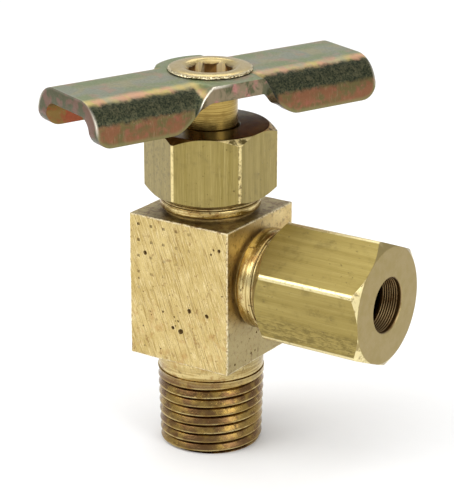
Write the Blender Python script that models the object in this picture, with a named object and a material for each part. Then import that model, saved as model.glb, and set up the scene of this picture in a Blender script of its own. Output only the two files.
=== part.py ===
"""Brass angle needle valve.

A 1/8-27 male pipe thread is the inlet below, and a 3/16 inch compression fitting is the outlet
at the side. The needle stem turns in the body under a stamped steel handle.
Metres, +Z up. The stem's axis is Z, the outlet points along +X, and the origin is the centre of
the pipe thread's lower end. The valve is modelled closed.
"""

from math import ceil, cos, pi, radians, sin, sqrt

import bmesh
import bpy
from mathutils import Matrix, Vector

MM = 0.001
INCH = 25.4 * MM
SEGMENTS = 36
RUNNING_GAP = 0.1 * MM
RESTING_GAP = 0.2 * MM
OVERCUT = 1.0 * MM

# Body block and the two axes.
BLOCK_LEFT = -5.52 * MM
BLOCK_RIGHT = 5.70 * MM
BLOCK_DEPTH = 11.36 * MM
BLOCK_BOTTOM = 9.50 * MM
BLOCK_TOP = 23.80 * MM
BLOCK_BEVEL = 0.15 * MM
OUTLET_HEIGHT = 17.90 * MM

# 1/8-27 male pipe thread: the taper is 1 in 16 on the diameter. Each turn of the profile is
# a root flat, a flank, a crest flat and a flank, whose ends are shares of the pitch.
PIPE_PITCH = INCH / 27
PIPE_TAPER = 1 / 32
PIPE_ROOT_END = 0.16
PIPE_CREST_START = 0.50
PIPE_CREST_END = 0.66
PIPE_THREAD_DEPTH = 0.62 * MM
PIPE_CREST_RADIUS = 5.22 * MM
PIPE_THREAD_TOP = 7.45 * MM
PIPE_NECK_RADIUS = 5.15 * MM
PIPE_RUNOUT = 0.30 * MM
PIPE_END_CHAMFER = 0.25 * MM
INLET_BORE_RADIUS = 2.30 * MM

# 3/8-24 necks for the packing nut and the compression nut.
NECK_THREAD_RADIUS = 4.70 * MM
NECK_BEAD_RADIUS = 4.85 * MM
NECK_GROOVE_RADIUS = 4.35 * MM
NECK_GROOVE_WIDTH = 0.30 * MM
NECK_CHAMFER = 0.40 * MM
NECK_STEP = 0.15 * MM
BEAD_STEPS = 4
TOP_BEAD_END = 25.05 * MM
TOP_NECK_END = 29.90 * MM
OUTLET_BEAD_END = 7.75 * MM
OUTLET_NECK_END = 13.60 * MM

# Waterways, seat and packing chamber.
SEAT_RADIUS = 1.20 * MM
SEAT_TOP = 15.50 * MM
SEAT_LENGTH = 1.70 * MM
SEAT_LEAD_IN = 0.60 * MM
SEAT_FACE = 0.40 * MM
VALVE_CHAMBER_RADIUS = 2.30 * MM
VALVE_CHAMBER_TOP = 19.70 * MM
OUTLET_PASSAGE_RADIUS = 1.60 * MM
TUBE_SOCKET_RADIUS = 2.45 * MM
TUBE_SOCKET_START = 9.40 * MM
SLEEVE_SEAT_RADIUS = 3.30 * MM
PACKING_CHAMBER_RADIUS = 3.75 * MM
PACKING_CHAMBER_FLOOR = 27.80 * MM

# Stem, with a 1/4-32 thread in the body.
STEM_THREAD_RADIUS = 2.95 * MM
STEM_THREAD_CHAMFER = 0.40 * MM
STEM_THREAD_BOTTOM = 20.00 * MM
STEM_THREAD_TOP = 23.95 * MM
STEM_COLLAR_TOP = 25.10 * MM
SEAL_GROOVE_RADIUS = 2.05 * MM
SEAL_GROOVE_HEIGHT = 0.90 * MM
SEAL_BORE_GAP = 0.05 * MM
SEAL_STEPS = 8
SHAFT_RADIUS = 2.60 * MM
NEEDLE_RADIUS = 1.60 * MM
NEEDLE_TIP_RADIUS = 0.45 * MM
NEEDLE_TIP = 13.60 * MM
NEEDLE_TAPER_TOP = 17.30 * MM
SPIGOT_RADIUS = 2.45 * MM
HEAD_RADIUS = 4.12 * MM
HEAD_TOP = 37.80 * MM
HEAD_RIM = 0.10 * MM
HEAD_CREST_RADIUS = 3.30 * MM
RECESS_RADIUS = 2.60 * MM
RECESS_FOOT_RADIUS = 1.95 * MM
RECESS_DEPTH = 0.45 * MM
SOCKET_ACROSS_FLATS = 5 / 32 * INCH
SOCKET_TURN = radians(33.6)
SOCKET_FLOOR = 35.70 * MM

# Hexagon nuts, both from 7/16 inch bar.
HEX_ACROSS_FLATS = 7 / 16 * INCH
NUT_THREAD_RADIUS = NECK_THREAD_RADIUS + RUNNING_GAP
NUT_THREAD_RELIEF = 0.30 * MM
NUT_END_SLOPE = 0.75
SMALL_FACE_RADIUS = 4.97 * MM
PACKING_NUT_BOTTOM = 25.25 * MM
PACKING_NUT_TOP = 32.10 * MM
PACKING_NUT_ROOF = 1.50 * MM
PACKING_NUT_SLOPE = 0.57
PACKING_NUT_HOLE_RADIUS = SHAFT_RADIUS + 0.15 * MM
PACKING_NUT_TURN = radians(29.7)
COMPRESSION_NUT_START = 8.00 * MM
COMPRESSION_NUT_END = 19.63 * MM
COMPRESSION_NUT_SLOPE = 0.90
COMPRESSION_NUT_TURN = radians(7.1)
COMPRESSION_BORE_RADIUS = 2.60 * MM
COMPRESSION_BORE_LENGTH = 2.20 * MM

# Packing set and compression sleeve.
PACKING_INNER_RADIUS = SHAFT_RADIUS + RUNNING_GAP
PACKING_OUTER_RADIUS = PACKING_CHAMBER_RADIUS - RUNNING_GAP
PACKING_WASHER_HEIGHT = 0.50 * MM
PACKING_RING_HEIGHT = 0.90 * MM
GLAND_FLANGE_RADIUS = 4.30 * MM
GLAND_FLANGE_HEIGHT = 0.40 * MM
SLEEVE_START = 13.20 * MM
SLEEVE_END = 16.95 * MM
SLEEVE_RADIUS = 3.20 * MM
SLEEVE_INNER_RADIUS = 2.42 * MM
SLEEVE_NOSE_RADIUS = 2.72 * MM
SLEEVE_NOSE_LENGTH = 0.77 * MM

# Handle, stamped from 16 gauge steel sheet.
HANDLE_TOP = 37.40 * MM
HANDLE_SHEET = 1.50 * MM
HANDLE_HALF_LENGTH = 15.5 * MM
HANDLE_DIRECTION = radians(67.6)
HANDLE_FLAT_HALF = 2.45 * MM
HANDLE_BEND_RADIUS = 2.90 * MM
HANDLE_DROP = 4.00 * MM
HANDLE_PAD_FRONT = 5.60 * MM
HANDLE_PAD_REAR_RADIUS = 5.40 * MM
HANDLE_PAD_REAR_LEAST = 3.00 * MM
HANDLE_PAD_STEPS = 3
HANDLE_NOTCH_OFFSET = -0.56 * MM
HANDLE_FOLD_START = 2.70 * MM
HANDLE_FOLD_END = 5.40 * MM
HANDLE_NOTCH_START = 3.60 * MM
HANDLE_NOTCH_END = 7.00 * MM
HANDLE_THINNING = 0.35
HANDLE_CORNER_RADIUS = 1.50 * MM
HANDLE_NOTCH_STEPS = 9
HANDLE_CORNER_STEPS = 4
HANDLE_ACROSS_START = 0.32
HANDLE_ACROSS_STEP = 0.10
HANDLE_ACROSS_STEPS = 6

BRASS = (0.60, 0.44, 0.16, 1.0)
BRIGHT_BRASS = (0.70, 0.52, 0.20, 1.0)
OLIVE_BRASS = (0.46, 0.37, 0.14, 1.0)
YELLOW_ZINC = (0.33, 0.31, 0.21, 1.0)
BLACK_RUBBER = (0.02, 0.02, 0.02, 1.0)
WHITE_PACKING = (0.80, 0.80, 0.76, 1.0)


def clear_scene():
    for item in list(bpy.data.objects):
        bpy.data.objects.remove(item, do_unlink=True)


def material(name, colour, roughness, metallic):
    made = bpy.data.materials.new(name)
    made.use_nodes = True
    shader = made.node_tree.nodes["Principled BSDF"]
    shader.inputs["Base Color"].default_value = colour
    shader.inputs["Roughness"].default_value = roughness
    shader.inputs["Metallic"].default_value = metallic
    return made


def add_object(name, bm, place=Matrix()):
    """A named object with outward faces, from a bmesh."""
    bmesh.ops.recalc_face_normals(bm, faces=bm.faces)
    mesh = bpy.data.meshes.new(name)
    bm.to_mesh(mesh)
    bm.free()
    item = bpy.data.objects.new(name, mesh)
    item.matrix_world = place
    bpy.context.scene.collection.objects.link(item)
    return item


def finish(item, look):
    """Gives a piece its own material and smooth shading with crisp edges."""
    item.data.materials.append(look)
    item.data.shade_smooth()
    item.data.set_sharp_from_angle(angle=radians(30))
    return item


def combine(target, operation, name, bm, place=Matrix()):
    """Adds a Boolean with a hidden tool solid to the target."""
    tool = add_object(name, bm, place)
    tool.hide_render = True
    tool.display_type = "WIRE"
    step = target.modifiers.new(name, "BOOLEAN")
    step.operation = operation
    step.solver = "EXACT"
    step.object = tool


def turned(profile, segments=SEGMENTS):
    """A solid turned about Z from a closed outline of (radius, height) points."""
    bm = bmesh.new()
    columns = []
    for index in range(segments):
        angle = 2 * pi * index / segments
        column = []
        for row, (radius, height) in enumerate(profile):
            if radius == 0 and columns:
                column.append(columns[0][row])
            else:
                column.append(bm.verts.new((radius * cos(angle), radius * sin(angle), height)))
        columns.append(column)
    rows = len(profile)
    for index in range(segments):
        here = columns[index]
        beside = columns[(index + 1) % segments]
        for row in range(rows):
            above = (row + 1) % rows
            corners = dict.fromkeys((here[row], beside[row], beside[above], here[above]))
            if len(corners) > 2:
                bm.faces.new(corners)
    return bm


def ring_profile(inner, outer, bottom, top):
    return [(inner, bottom), (outer, bottom), (outer, top), (inner, top)]


def prism(across_flats, bottom, top, turn):
    """A hexagonal bar along Z with its first corner at the angle turn."""
    radius = across_flats / sqrt(3)
    bm = bmesh.new()
    rings = []
    for height in (bottom, top):
        ring = []
        for corner in range(6):
            angle = turn + corner * pi / 3
            ring.append(bm.verts.new((radius * cos(angle), radius * sin(angle), height)))
        rings.append(ring)
    low, high = rings
    for corner in range(6):
        beside = (corner + 1) % 6
        bm.faces.new((low[corner], low[beside], high[beside], high[corner]))
    bm.faces.new(low[::-1])
    bm.faces.new(high)
    return bm


def pipe_radius(turn, height):
    """Surface of the tapered pipe thread at a fraction of a turn and a height."""
    crest = PIPE_CREST_RADIUS - PIPE_TAPER * (PIPE_THREAD_TOP - height)
    phase = (height / PIPE_PITCH - turn) % 1.0
    if phase < PIPE_ROOT_END:
        depth = 1.0
    elif phase < PIPE_CREST_START:
        depth = (PIPE_CREST_START - phase) / (PIPE_CREST_START - PIPE_ROOT_END)
    elif phase < PIPE_CREST_END:
        depth = 0.0
    else:
        depth = (phase - PIPE_CREST_END) / (1.0 - PIPE_CREST_END)
    fade = min(1.0, max(0.0, (PIPE_THREAD_TOP - height) / PIPE_PITCH))
    threaded = crest - PIPE_THREAD_DEPTH * depth * fade
    chamfer = PIPE_CREST_RADIUS - PIPE_TAPER * PIPE_THREAD_TOP - PIPE_END_CHAMFER + height
    return min(threaded, chamfer)


def pipe_thread():
    """The helical shank, closed by flat ends, up to the plain neck under the block."""
    steps = (0.0, PIPE_ROOT_END, PIPE_CREST_START, PIPE_CREST_END)
    turns = ceil(PIPE_THREAD_TOP / PIPE_PITCH) + 2
    bm = bmesh.new()
    columns = []
    for index in range(SEGMENTS + 1):
        turn = index / SEGMENTS
        column = []
        for row in range(turns * len(steps)):
            whole, step = divmod(row, len(steps))
            height = PIPE_PITCH * (whole - 1 + steps[step] + turn)
            height = min(PIPE_THREAD_TOP, max(0.0, height))
            radius = pipe_radius(turn, height)
            angle = 2 * pi * turn
            column.append(bm.verts.new((radius * cos(angle), radius * sin(angle), height)))
        columns.append(column)
    for here, beside in zip(columns, columns[1:]):
        for row in range(len(here) - 1):
            bm.faces.new((here[row], beside[row], beside[row + 1], here[row + 1]))
    bmesh.ops.remove_doubles(bm, verts=bm.verts, dist=0.001 * MM)
    open_edges = [edge for edge in bm.edges if edge.is_boundary]
    bmesh.ops.contextual_create(bm, geom=[e for e in open_edges if e.verts[0].co.z < MM])
    grow_neck(bm, PIPE_THREAD_TOP + PIPE_RUNOUT)
    grow_neck(bm, BLOCK_BOTTOM + OVERCUT)
    bmesh.ops.contextual_create(bm, geom=[edge for edge in bm.edges if edge.is_boundary])
    return bm


def grow_neck(bm, height):
    """Extrudes the shank's open top ring to the plain neck's radius at a height."""
    rim = [edge for edge in bm.edges if edge.is_boundary]
    grown = bmesh.ops.extrude_edge_only(bm, edges=rim)
    for item in grown["geom"]:
        if isinstance(item, bmesh.types.BMVert):
            flat = Vector((item.co.x, item.co.y, 0)).normalized() * PIPE_NECK_RADIUS
            item.co = (flat.x, flat.y, height)


def neck_profile(root, bead_end, end):
    """A threaded neck with a groove and a rounded bead at its root, from inside the block."""
    groove_end = root + NECK_GROOVE_WIDTH
    middle = (groove_end + bead_end) / 2
    half = (bead_end - groove_end) / 2
    bulge = NECK_BEAD_RADIUS - NECK_GROOVE_RADIUS
    bead = []
    for step in range(BEAD_STEPS + 1):
        angle = pi * step / BEAD_STEPS
        bead.append((NECK_GROOVE_RADIUS + bulge * sqrt(sin(angle)), middle - half * cos(angle)))
    return [
        (0, root - OVERCUT),
        (NECK_GROOVE_RADIUS, root - OVERCUT),
        *bead,
        (NECK_THREAD_RADIUS, bead_end + NECK_STEP),
        (NECK_THREAD_RADIUS, end - NECK_CHAMFER),
        (NECK_THREAD_RADIUS - NECK_CHAMFER, end),
        (0, end),
    ]


def main_bore():
    """Inlet, seat, valve chamber, stem thread and packing chamber, as one stepped cutter."""
    seat_bottom = SEAT_TOP - SEAT_LENGTH
    stem_bore = STEM_THREAD_RADIUS + RUNNING_GAP
    return [
        (0, -OVERCUT),
        (INLET_BORE_RADIUS, -OVERCUT),
        (INLET_BORE_RADIUS, seat_bottom - SEAT_LEAD_IN),
        (SEAT_RADIUS, seat_bottom),
        (SEAT_RADIUS, SEAT_TOP),
        (VALVE_CHAMBER_RADIUS, SEAT_TOP + SEAT_FACE),
        (VALVE_CHAMBER_RADIUS, VALVE_CHAMBER_TOP),
        (stem_bore, VALVE_CHAMBER_TOP),
        (stem_bore, PACKING_CHAMBER_FLOOR),
        (PACKING_CHAMBER_RADIUS, PACKING_CHAMBER_FLOOR),
        (PACKING_CHAMBER_RADIUS, TOP_NECK_END + OVERCUT),
        (0, TOP_NECK_END + OVERCUT),
    ]


def outlet_bore():
    """Passage, tube socket and sleeve seat, as one stepped cutter along the outlet."""
    seat_depth = SLEEVE_SEAT_RADIUS - TUBE_SOCKET_RADIUS
    return [
        (0, 0),
        (OUTLET_PASSAGE_RADIUS, 0),
        (OUTLET_PASSAGE_RADIUS, TUBE_SOCKET_START),
        (TUBE_SOCKET_RADIUS, TUBE_SOCKET_START),
        (TUBE_SOCKET_RADIUS, OUTLET_NECK_END - seat_depth),
        (SLEEVE_SEAT_RADIUS + OVERCUT, OUTLET_NECK_END + OVERCUT),
        (0, OUTLET_NECK_END + OVERCUT),
    ]


def outlet_place():
    """Turns a solid made along Z to lie along the outlet, towards +X."""
    return Matrix.Translation((0, 0, OUTLET_HEIGHT)) @ Matrix.Rotation(pi / 2, 4, "Y")


def make_valve_body():
    bm = bmesh.new()
    size = Vector((BLOCK_RIGHT - BLOCK_LEFT, BLOCK_DEPTH, BLOCK_TOP - BLOCK_BOTTOM))
    centre = Vector(((BLOCK_RIGHT + BLOCK_LEFT) / 2, 0, (BLOCK_TOP + BLOCK_BOTTOM) / 2))
    place = Matrix.Translation(centre) @ Matrix.Diagonal(size).to_4x4()
    bmesh.ops.create_cube(bm, size=1, matrix=place)
    body = add_object("valve_body", bm)
    bevel = body.modifiers.new("edges", "BEVEL")
    bevel.width = BLOCK_BEVEL
    bevel.segments = 2
    top_neck = neck_profile(BLOCK_TOP, TOP_BEAD_END, TOP_NECK_END)
    outlet_neck = neck_profile(BLOCK_RIGHT, OUTLET_BEAD_END, OUTLET_NECK_END)
    combine(body, "UNION", "tool_top_neck", turned(top_neck))
    combine(body, "UNION", "tool_outlet_neck", turned(outlet_neck), outlet_place())
    combine(body, "UNION", "tool_pipe_thread", pipe_thread())
    combine(body, "DIFFERENCE", "tool_main_bore", turned(main_bore()))
    combine(body, "DIFFERENCE", "tool_outlet_bore", turned(outlet_bore()), outlet_place())
    return finish(body, material("body_brass", BRASS, 0.42, 1.0))


def make_needle_stem():
    handle_underside = HANDLE_TOP - HANDLE_SHEET
    shoulder = handle_underside - RUNNING_GAP
    head_bottom = HANDLE_TOP + RUNNING_GAP
    groove_top = STEM_THREAD_TOP + SEAL_GROOVE_HEIGHT
    recess_floor = HEAD_TOP - RECESS_DEPTH
    profile = [
        (0, NEEDLE_TIP),
        (NEEDLE_TIP_RADIUS, NEEDLE_TIP),
        (NEEDLE_RADIUS, NEEDLE_TAPER_TOP),
        (NEEDLE_RADIUS, STEM_THREAD_BOTTOM),
        (STEM_THREAD_RADIUS - STEM_THREAD_CHAMFER, STEM_THREAD_BOTTOM),
        (STEM_THREAD_RADIUS, STEM_THREAD_BOTTOM + STEM_THREAD_CHAMFER),
        (STEM_THREAD_RADIUS, STEM_THREAD_TOP),
        (SEAL_GROOVE_RADIUS, STEM_THREAD_TOP),
        (SEAL_GROOVE_RADIUS, groove_top),
        (STEM_THREAD_RADIUS, groove_top),
        (STEM_THREAD_RADIUS, STEM_COLLAR_TOP),
        (SHAFT_RADIUS, STEM_COLLAR_TOP),
        (SHAFT_RADIUS, shoulder),
        (SPIGOT_RADIUS, shoulder),
        (SPIGOT_RADIUS, head_bottom),
        (HEAD_RADIUS - HEAD_RIM, head_bottom),
        (HEAD_RADIUS, head_bottom + HEAD_RIM),
        (HEAD_CREST_RADIUS, HEAD_TOP),
        (RECESS_RADIUS, HEAD_TOP),
        (RECESS_FOOT_RADIUS, recess_floor),
        (0, recess_floor),
    ]
    stem = add_object("needle_stem", turned(profile))
    socket = prism(SOCKET_ACROSS_FLATS, SOCKET_FLOOR, HEAD_TOP, SOCKET_TURN)
    combine(stem, "DIFFERENCE", "tool_socket", socket)
    return finish(stem, material("stem_brass", BRIGHT_BRASS, 0.28, 1.0))


def make_stem_seal():
    """O-ring in the stem's groove, with a rounded section."""
    inner = SEAL_GROOVE_RADIUS + RUNNING_GAP
    outer = STEM_THREAD_RADIUS + RUNNING_GAP - SEAL_BORE_GAP
    middle = (inner + outer) / 2
    height = STEM_THREAD_TOP + SEAL_GROOVE_HEIGHT / 2
    half_height = SEAL_GROOVE_HEIGHT / 2 - RUNNING_GAP
    section = []
    for step in range(SEAL_STEPS):
        angle = 2 * pi * step / SEAL_STEPS
        section.append((middle + (outer - inner) / 2 * cos(angle), height + half_height * sin(angle)))
    ring = add_object("stem_o_ring", turned(section))
    return finish(ring, material("nitrile", BLACK_RUBBER, 0.55, 0.0))


def make_packing_set():
    """Washer, packing ring and gland, stacked in the packing chamber."""
    washer_bottom = PACKING_CHAMBER_FLOOR + RUNNING_GAP
    washer_top = washer_bottom + PACKING_WASHER_HEIGHT
    ring_bottom = washer_top + RUNNING_GAP
    ring_top = ring_bottom + PACKING_RING_HEIGHT
    gland_bottom = ring_top + RUNNING_GAP
    flange_top = PACKING_NUT_TOP - PACKING_NUT_ROOF - RUNNING_GAP
    flange_bottom = flange_top - GLAND_FLANGE_HEIGHT
    inner = PACKING_INNER_RADIUS
    outer = PACKING_OUTER_RADIUS
    washer = add_object("packing_washer", turned(ring_profile(inner, outer, washer_bottom, washer_top)))
    finish(washer, material("washer_brass", OLIVE_BRASS, 0.40, 1.0))
    ring = add_object("packing_ring", turned(ring_profile(inner, outer, ring_bottom, ring_top)))
    finish(ring, material("packing", WHITE_PACKING, 0.60, 0.0))
    gland_profile = [
        (inner, gland_bottom),
        (outer, gland_bottom),
        (outer, flange_bottom),
        (GLAND_FLANGE_RADIUS, flange_bottom),
        (GLAND_FLANGE_RADIUS, flange_top),
        (inner, flange_top),
    ]
    gland = add_object("packing_gland", turned(gland_profile))
    finish(gland, material("gland_brass", OLIVE_BRASS, 0.40, 1.0))


def nut_envelope(start, end, small_slope):
    """Chamfers a hexagon: to a small face at its start, and across its corners at its end."""
    corner = HEX_ACROSS_FLATS / sqrt(3)
    apothem = HEX_ACROSS_FLATS / 2
    low = start + (corner - SMALL_FACE_RADIUS) * small_slope
    high = end - (corner - apothem) * NUT_END_SLOPE
    return [
        (0, start),
        (SMALL_FACE_RADIUS, start),
        (corner, low),
        (corner + OVERCUT, low),
        (corner + OVERCUT, high),
        (corner, high),
        (apothem, end),
        (0, end),
    ]


def make_packing_nut():
    start = PACKING_NUT_BOTTOM
    end = PACKING_NUT_TOP
    bar = prism(HEX_ACROSS_FLATS, start - OVERCUT, end + OVERCUT, PACKING_NUT_TURN)
    nut = add_object("packing_nut", bar)
    envelope = nut_envelope(start, end, PACKING_NUT_SLOPE)
    combine(nut, "INTERSECT", "tool_packing_nut_chamfer", turned(envelope, 2 * SEGMENTS))
    roof = end - PACKING_NUT_ROOF
    bore = [
        (0, start - OVERCUT),
        (NUT_THREAD_RADIUS, start - OVERCUT),
        (NUT_THREAD_RADIUS, roof),
        (PACKING_NUT_HOLE_RADIUS, roof),
        (PACKING_NUT_HOLE_RADIUS, end + OVERCUT),
        (0, end + OVERCUT),
    ]
    combine(nut, "DIFFERENCE", "tool_packing_nut_bore", turned(bore))
    return finish(nut, material("packing_nut_brass", OLIVE_BRASS, 0.35, 1.0))


def make_compression_nut():
    start = COMPRESSION_NUT_START
    end = COMPRESSION_NUT_END
    bar = prism(HEX_ACROSS_FLATS, start - OVERCUT, end + OVERCUT, COMPRESSION_NUT_TURN)
    nut = add_object("compression_nut", bar, outlet_place())
    envelope = turned(nut_envelope(start, end, COMPRESSION_NUT_SLOPE), 2 * SEGMENTS)
    combine(nut, "INTERSECT", "tool_compression_nut_chamfer", envelope, outlet_place())
    thread_end = OUTLET_NECK_END + NUT_THREAD_RELIEF
    sleeve_room = SLEEVE_RADIUS + RESTING_GAP
    bore_start = end - COMPRESSION_BORE_LENGTH
    bore = [
        (0, start - OVERCUT),
        (NUT_THREAD_RADIUS, start - OVERCUT),
        (NUT_THREAD_RADIUS, thread_end),
        (sleeve_room, thread_end + NUT_THREAD_RADIUS - sleeve_room),
        (sleeve_room, bore_start - (sleeve_room - COMPRESSION_BORE_RADIUS)),
        (COMPRESSION_BORE_RADIUS, bore_start),
        (COMPRESSION_BORE_RADIUS, end + OVERCUT),
        (0, end + OVERCUT),
    ]
    combine(nut, "DIFFERENCE", "tool_compression_nut_bore", turned(bore), outlet_place())
    return finish(nut, material("compression_nut_brass", OLIVE_BRASS, 0.35, 1.0))


def make_compression_sleeve():
    profile = [
        (SLEEVE_INNER_RADIUS, SLEEVE_START),
        (SLEEVE_NOSE_RADIUS, SLEEVE_START),
        (SLEEVE_RADIUS, SLEEVE_START + SLEEVE_NOSE_LENGTH),
        (SLEEVE_RADIUS, SLEEVE_END - SLEEVE_NOSE_LENGTH),
        (SLEEVE_NOSE_RADIUS, SLEEVE_END),
        (SLEEVE_INNER_RADIUS, SLEEVE_END),
    ]
    sleeve = add_object("compression_sleeve", turned(profile), outlet_place())
    return finish(sleeve, material("sleeve_brass", BRASS, 0.30, 1.0))


def smooth(low, high, value):
    share = min(1.0, max(0.0, (value - low) / (high - low)))
    return share * share * (3 - 2 * share)


def handle_half_width(along, side):
    """Half the flat blank's width on a side: a straight front pad (-1), a round rear pad (1)."""
    rear_pad = sqrt(max(HANDLE_PAD_REAR_RADIUS**2 - along**2, HANDLE_PAD_REAR_LEAST**2))
    pad = rear_pad if side > 0 else HANDLE_PAD_FRONT
    flange = HANDLE_DROP - HANDLE_BEND_RADIUS
    full = HANDLE_FLAT_HALF + HANDLE_BEND_RADIUS * pi / 2 + flange
    from_notch = abs(along - HANDLE_NOTCH_OFFSET)
    share = (from_notch - HANDLE_NOTCH_START) / (HANDLE_NOTCH_END - HANDLE_NOTCH_START)
    share = min(1.0, max(0.0, share))
    width = pad + (full - pad) * sin(share * pi / 2)
    into_corner = abs(along) - (HANDLE_HALF_LENGTH - HANDLE_CORNER_RADIUS)
    if into_corner > 0:
        width -= HANDLE_CORNER_RADIUS - sqrt(max(0.0, HANDLE_CORNER_RADIUS**2 - into_corner**2))
    return width


def sheet_share(along, across):
    """Share of the sheet's thickness left where it is stretched round the notches' corners."""
    from_notch = abs(along - HANDLE_NOTCH_OFFSET)
    share = (from_notch - HANDLE_FOLD_START) / (HANDLE_NOTCH_END - HANDLE_FOLD_START)
    stretched = sin(pi * min(1.0, max(0.0, share)))
    outer = smooth(HANDLE_FLAT_HALF, HANDLE_FLAT_HALF + HANDLE_BEND_RADIUS, abs(across))
    return 1 - HANDLE_THINNING * stretched * outer


def handle_point(along, across, depth):
    """A blank point folded into the channel: depth is measured into the sheet."""
    from_notch = abs(along - HANDLE_NOTCH_OFFSET)
    fold = pi / 2 * smooth(HANDLE_FOLD_START, HANDLE_FOLD_END, from_notch)
    beyond = abs(across) - HANDLE_FLAT_HALF
    angle = min(fold, max(0.0, beyond / HANDLE_BEND_RADIUS))
    straight = max(0.0, beyond - HANDLE_BEND_RADIUS * fold)
    flat = min(abs(across), HANDLE_FLAT_HALF)
    depth *= sheet_share(along, across)
    side = flat + HANDLE_BEND_RADIUS * sin(angle) + straight * cos(angle) - depth * sin(angle)
    drop = HANDLE_BEND_RADIUS * (1 - cos(angle)) + straight * sin(angle) + depth * cos(angle)
    return Vector((along, -side if across < 0 else side, HANDLE_TOP - drop))


def handle_stations():
    """Places along the handle: close together at the folds, the notches and the round corners."""
    places = []
    for sign in (-1, 1):
        for step in range(1, HANDLE_PAD_STEPS):
            on_pad = HANDLE_FOLD_START * step / HANDLE_PAD_STEPS
            places.append(HANDLE_NOTCH_OFFSET + sign * on_pad)
        for step in range(HANDLE_NOTCH_STEPS + 1):
            share = step / HANDLE_NOTCH_STEPS
            from_notch = HANDLE_FOLD_START + (HANDLE_NOTCH_END - HANDLE_FOLD_START) * share
            places.append(HANDLE_NOTCH_OFFSET + sign * from_notch)
        for step in range(HANDLE_CORNER_STEPS + 1):
            angle = pi / 2 * step / HANDLE_CORNER_STEPS
            places.append(sign * (HANDLE_HALF_LENGTH - HANDLE_CORNER_RADIUS * (1 - sin(angle))))
    places.append(HANDLE_NOTCH_OFFSET)
    return sorted(places)


def handle_shares():
    """Places across the blank, as shares of its half width: close together where it bends."""
    bent = [HANDLE_ACROSS_START + step * HANDLE_ACROSS_STEP for step in range(HANDLE_ACROSS_STEPS)]
    half = [0.0, *bent, 1.0]
    return [-share for share in half[:0:-1]] + half


def make_handle():
    """One closed shell, from a grid on the outer face and one on the inner face."""
    bm = bmesh.new()
    layers = []
    for depth in (0.0, HANDLE_SHEET):
        layer = []
        for along in handle_stations():
            front = handle_half_width(along, -1)
            rear = handle_half_width(along, 1)
            row = []
            for share in handle_shares():
                across = share * (front if share < 0 else rear)
                row.append(bm.verts.new(handle_point(along, across, depth)))
            layer.append(row)
        layers.append(layer)
    outer, inner = layers
    for layer in layers:
        for here, beside in zip(layer, layer[1:]):
            for column in range(len(here) - 1):
                bm.faces.new((here[column], here[column + 1], beside[column + 1], beside[column]))
    for row in (0, -1):
        for column in range(len(outer[0]) - 1):
            edge = (outer[row][column], outer[row][column + 1])
            bm.faces.new((*edge, inner[row][column + 1], inner[row][column]))
    for column in (0, -1):
        for row in range(len(outer) - 1):
            edge = (outer[row][column], outer[row + 1][column])
            bm.faces.new((*edge, inner[row + 1][column], inner[row][column]))
    handle = add_object("handle", bm, Matrix.Rotation(HANDLE_DIRECTION, 4, "Z"))
    low = HANDLE_TOP - HANDLE_SHEET - OVERCUT
    hole = turned(ring_profile(0, SPIGOT_RADIUS + RUNNING_GAP, low, HANDLE_TOP + OVERCUT))
    combine(handle, "DIFFERENCE", "tool_handle_hole", hole)
    return finish(handle, material("yellow_zinc_steel", YELLOW_ZINC, 0.38, 0.9))


def main():
    clear_scene()
    make_valve_body()
    make_needle_stem()
    make_stem_seal()
    make_packing_set()
    make_packing_nut()
    make_handle()
    make_compression_nut()
    make_compression_sleeve()


main()
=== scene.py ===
"""The looks of a small brass angle needle valve with a yellow chromated steel handle.

Every CAD node is replaced by a finer mesh of the same shape: rounded and burred edges, real
threads, pits and a hexagon socket. Shapes are made in millimetres, in the frame's own axes:
+Z up along the stem, +X along the outlet, origin at the pipe thread's lower end.
"""

import random
from collections import namedtuple
from math import ceil, cos, hypot, pi, radians, sin, sqrt

import bmesh
import bpy
import numpy as np
from mathutils import Matrix, Vector, noise


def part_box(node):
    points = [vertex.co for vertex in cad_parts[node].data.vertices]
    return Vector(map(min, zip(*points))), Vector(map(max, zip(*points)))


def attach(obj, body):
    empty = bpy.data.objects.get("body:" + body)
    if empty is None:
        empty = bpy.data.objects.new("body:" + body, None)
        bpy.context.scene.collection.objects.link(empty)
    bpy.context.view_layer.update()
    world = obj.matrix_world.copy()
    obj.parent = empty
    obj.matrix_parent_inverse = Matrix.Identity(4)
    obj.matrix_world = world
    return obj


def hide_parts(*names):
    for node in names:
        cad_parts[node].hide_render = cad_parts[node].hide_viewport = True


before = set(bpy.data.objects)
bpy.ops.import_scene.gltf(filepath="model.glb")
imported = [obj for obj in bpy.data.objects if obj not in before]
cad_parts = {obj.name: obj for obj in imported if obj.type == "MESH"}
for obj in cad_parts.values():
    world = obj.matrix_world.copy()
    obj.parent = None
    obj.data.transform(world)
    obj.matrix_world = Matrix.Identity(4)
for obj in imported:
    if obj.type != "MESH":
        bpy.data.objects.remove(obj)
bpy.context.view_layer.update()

MM = 0.001
INCH = 25.4
SEGMENTS = 144
OVERCUT = 1.0

# The block, the two axes and the necks.
BLOCK_LOW = (-5.52, -5.68, 9.50)
BLOCK_HIGH = (5.70, 5.68, 23.80)
OUTLET_HEIGHT = 17.90
NECK_GROOVE_RADIUS = 4.35
NECK_BEAD_RADIUS = 4.85
NECK_THREAD_RADIUS = 4.70
NECK_THREAD_DEPTH = 0.55
NECK_PITCH = INCH / 24
NECK_CHAMFER = 0.40
TOP_NECK = (23.80, 25.05, 29.90)
OUTLET_NECK = (5.70, 7.75, 13.60)

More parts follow.
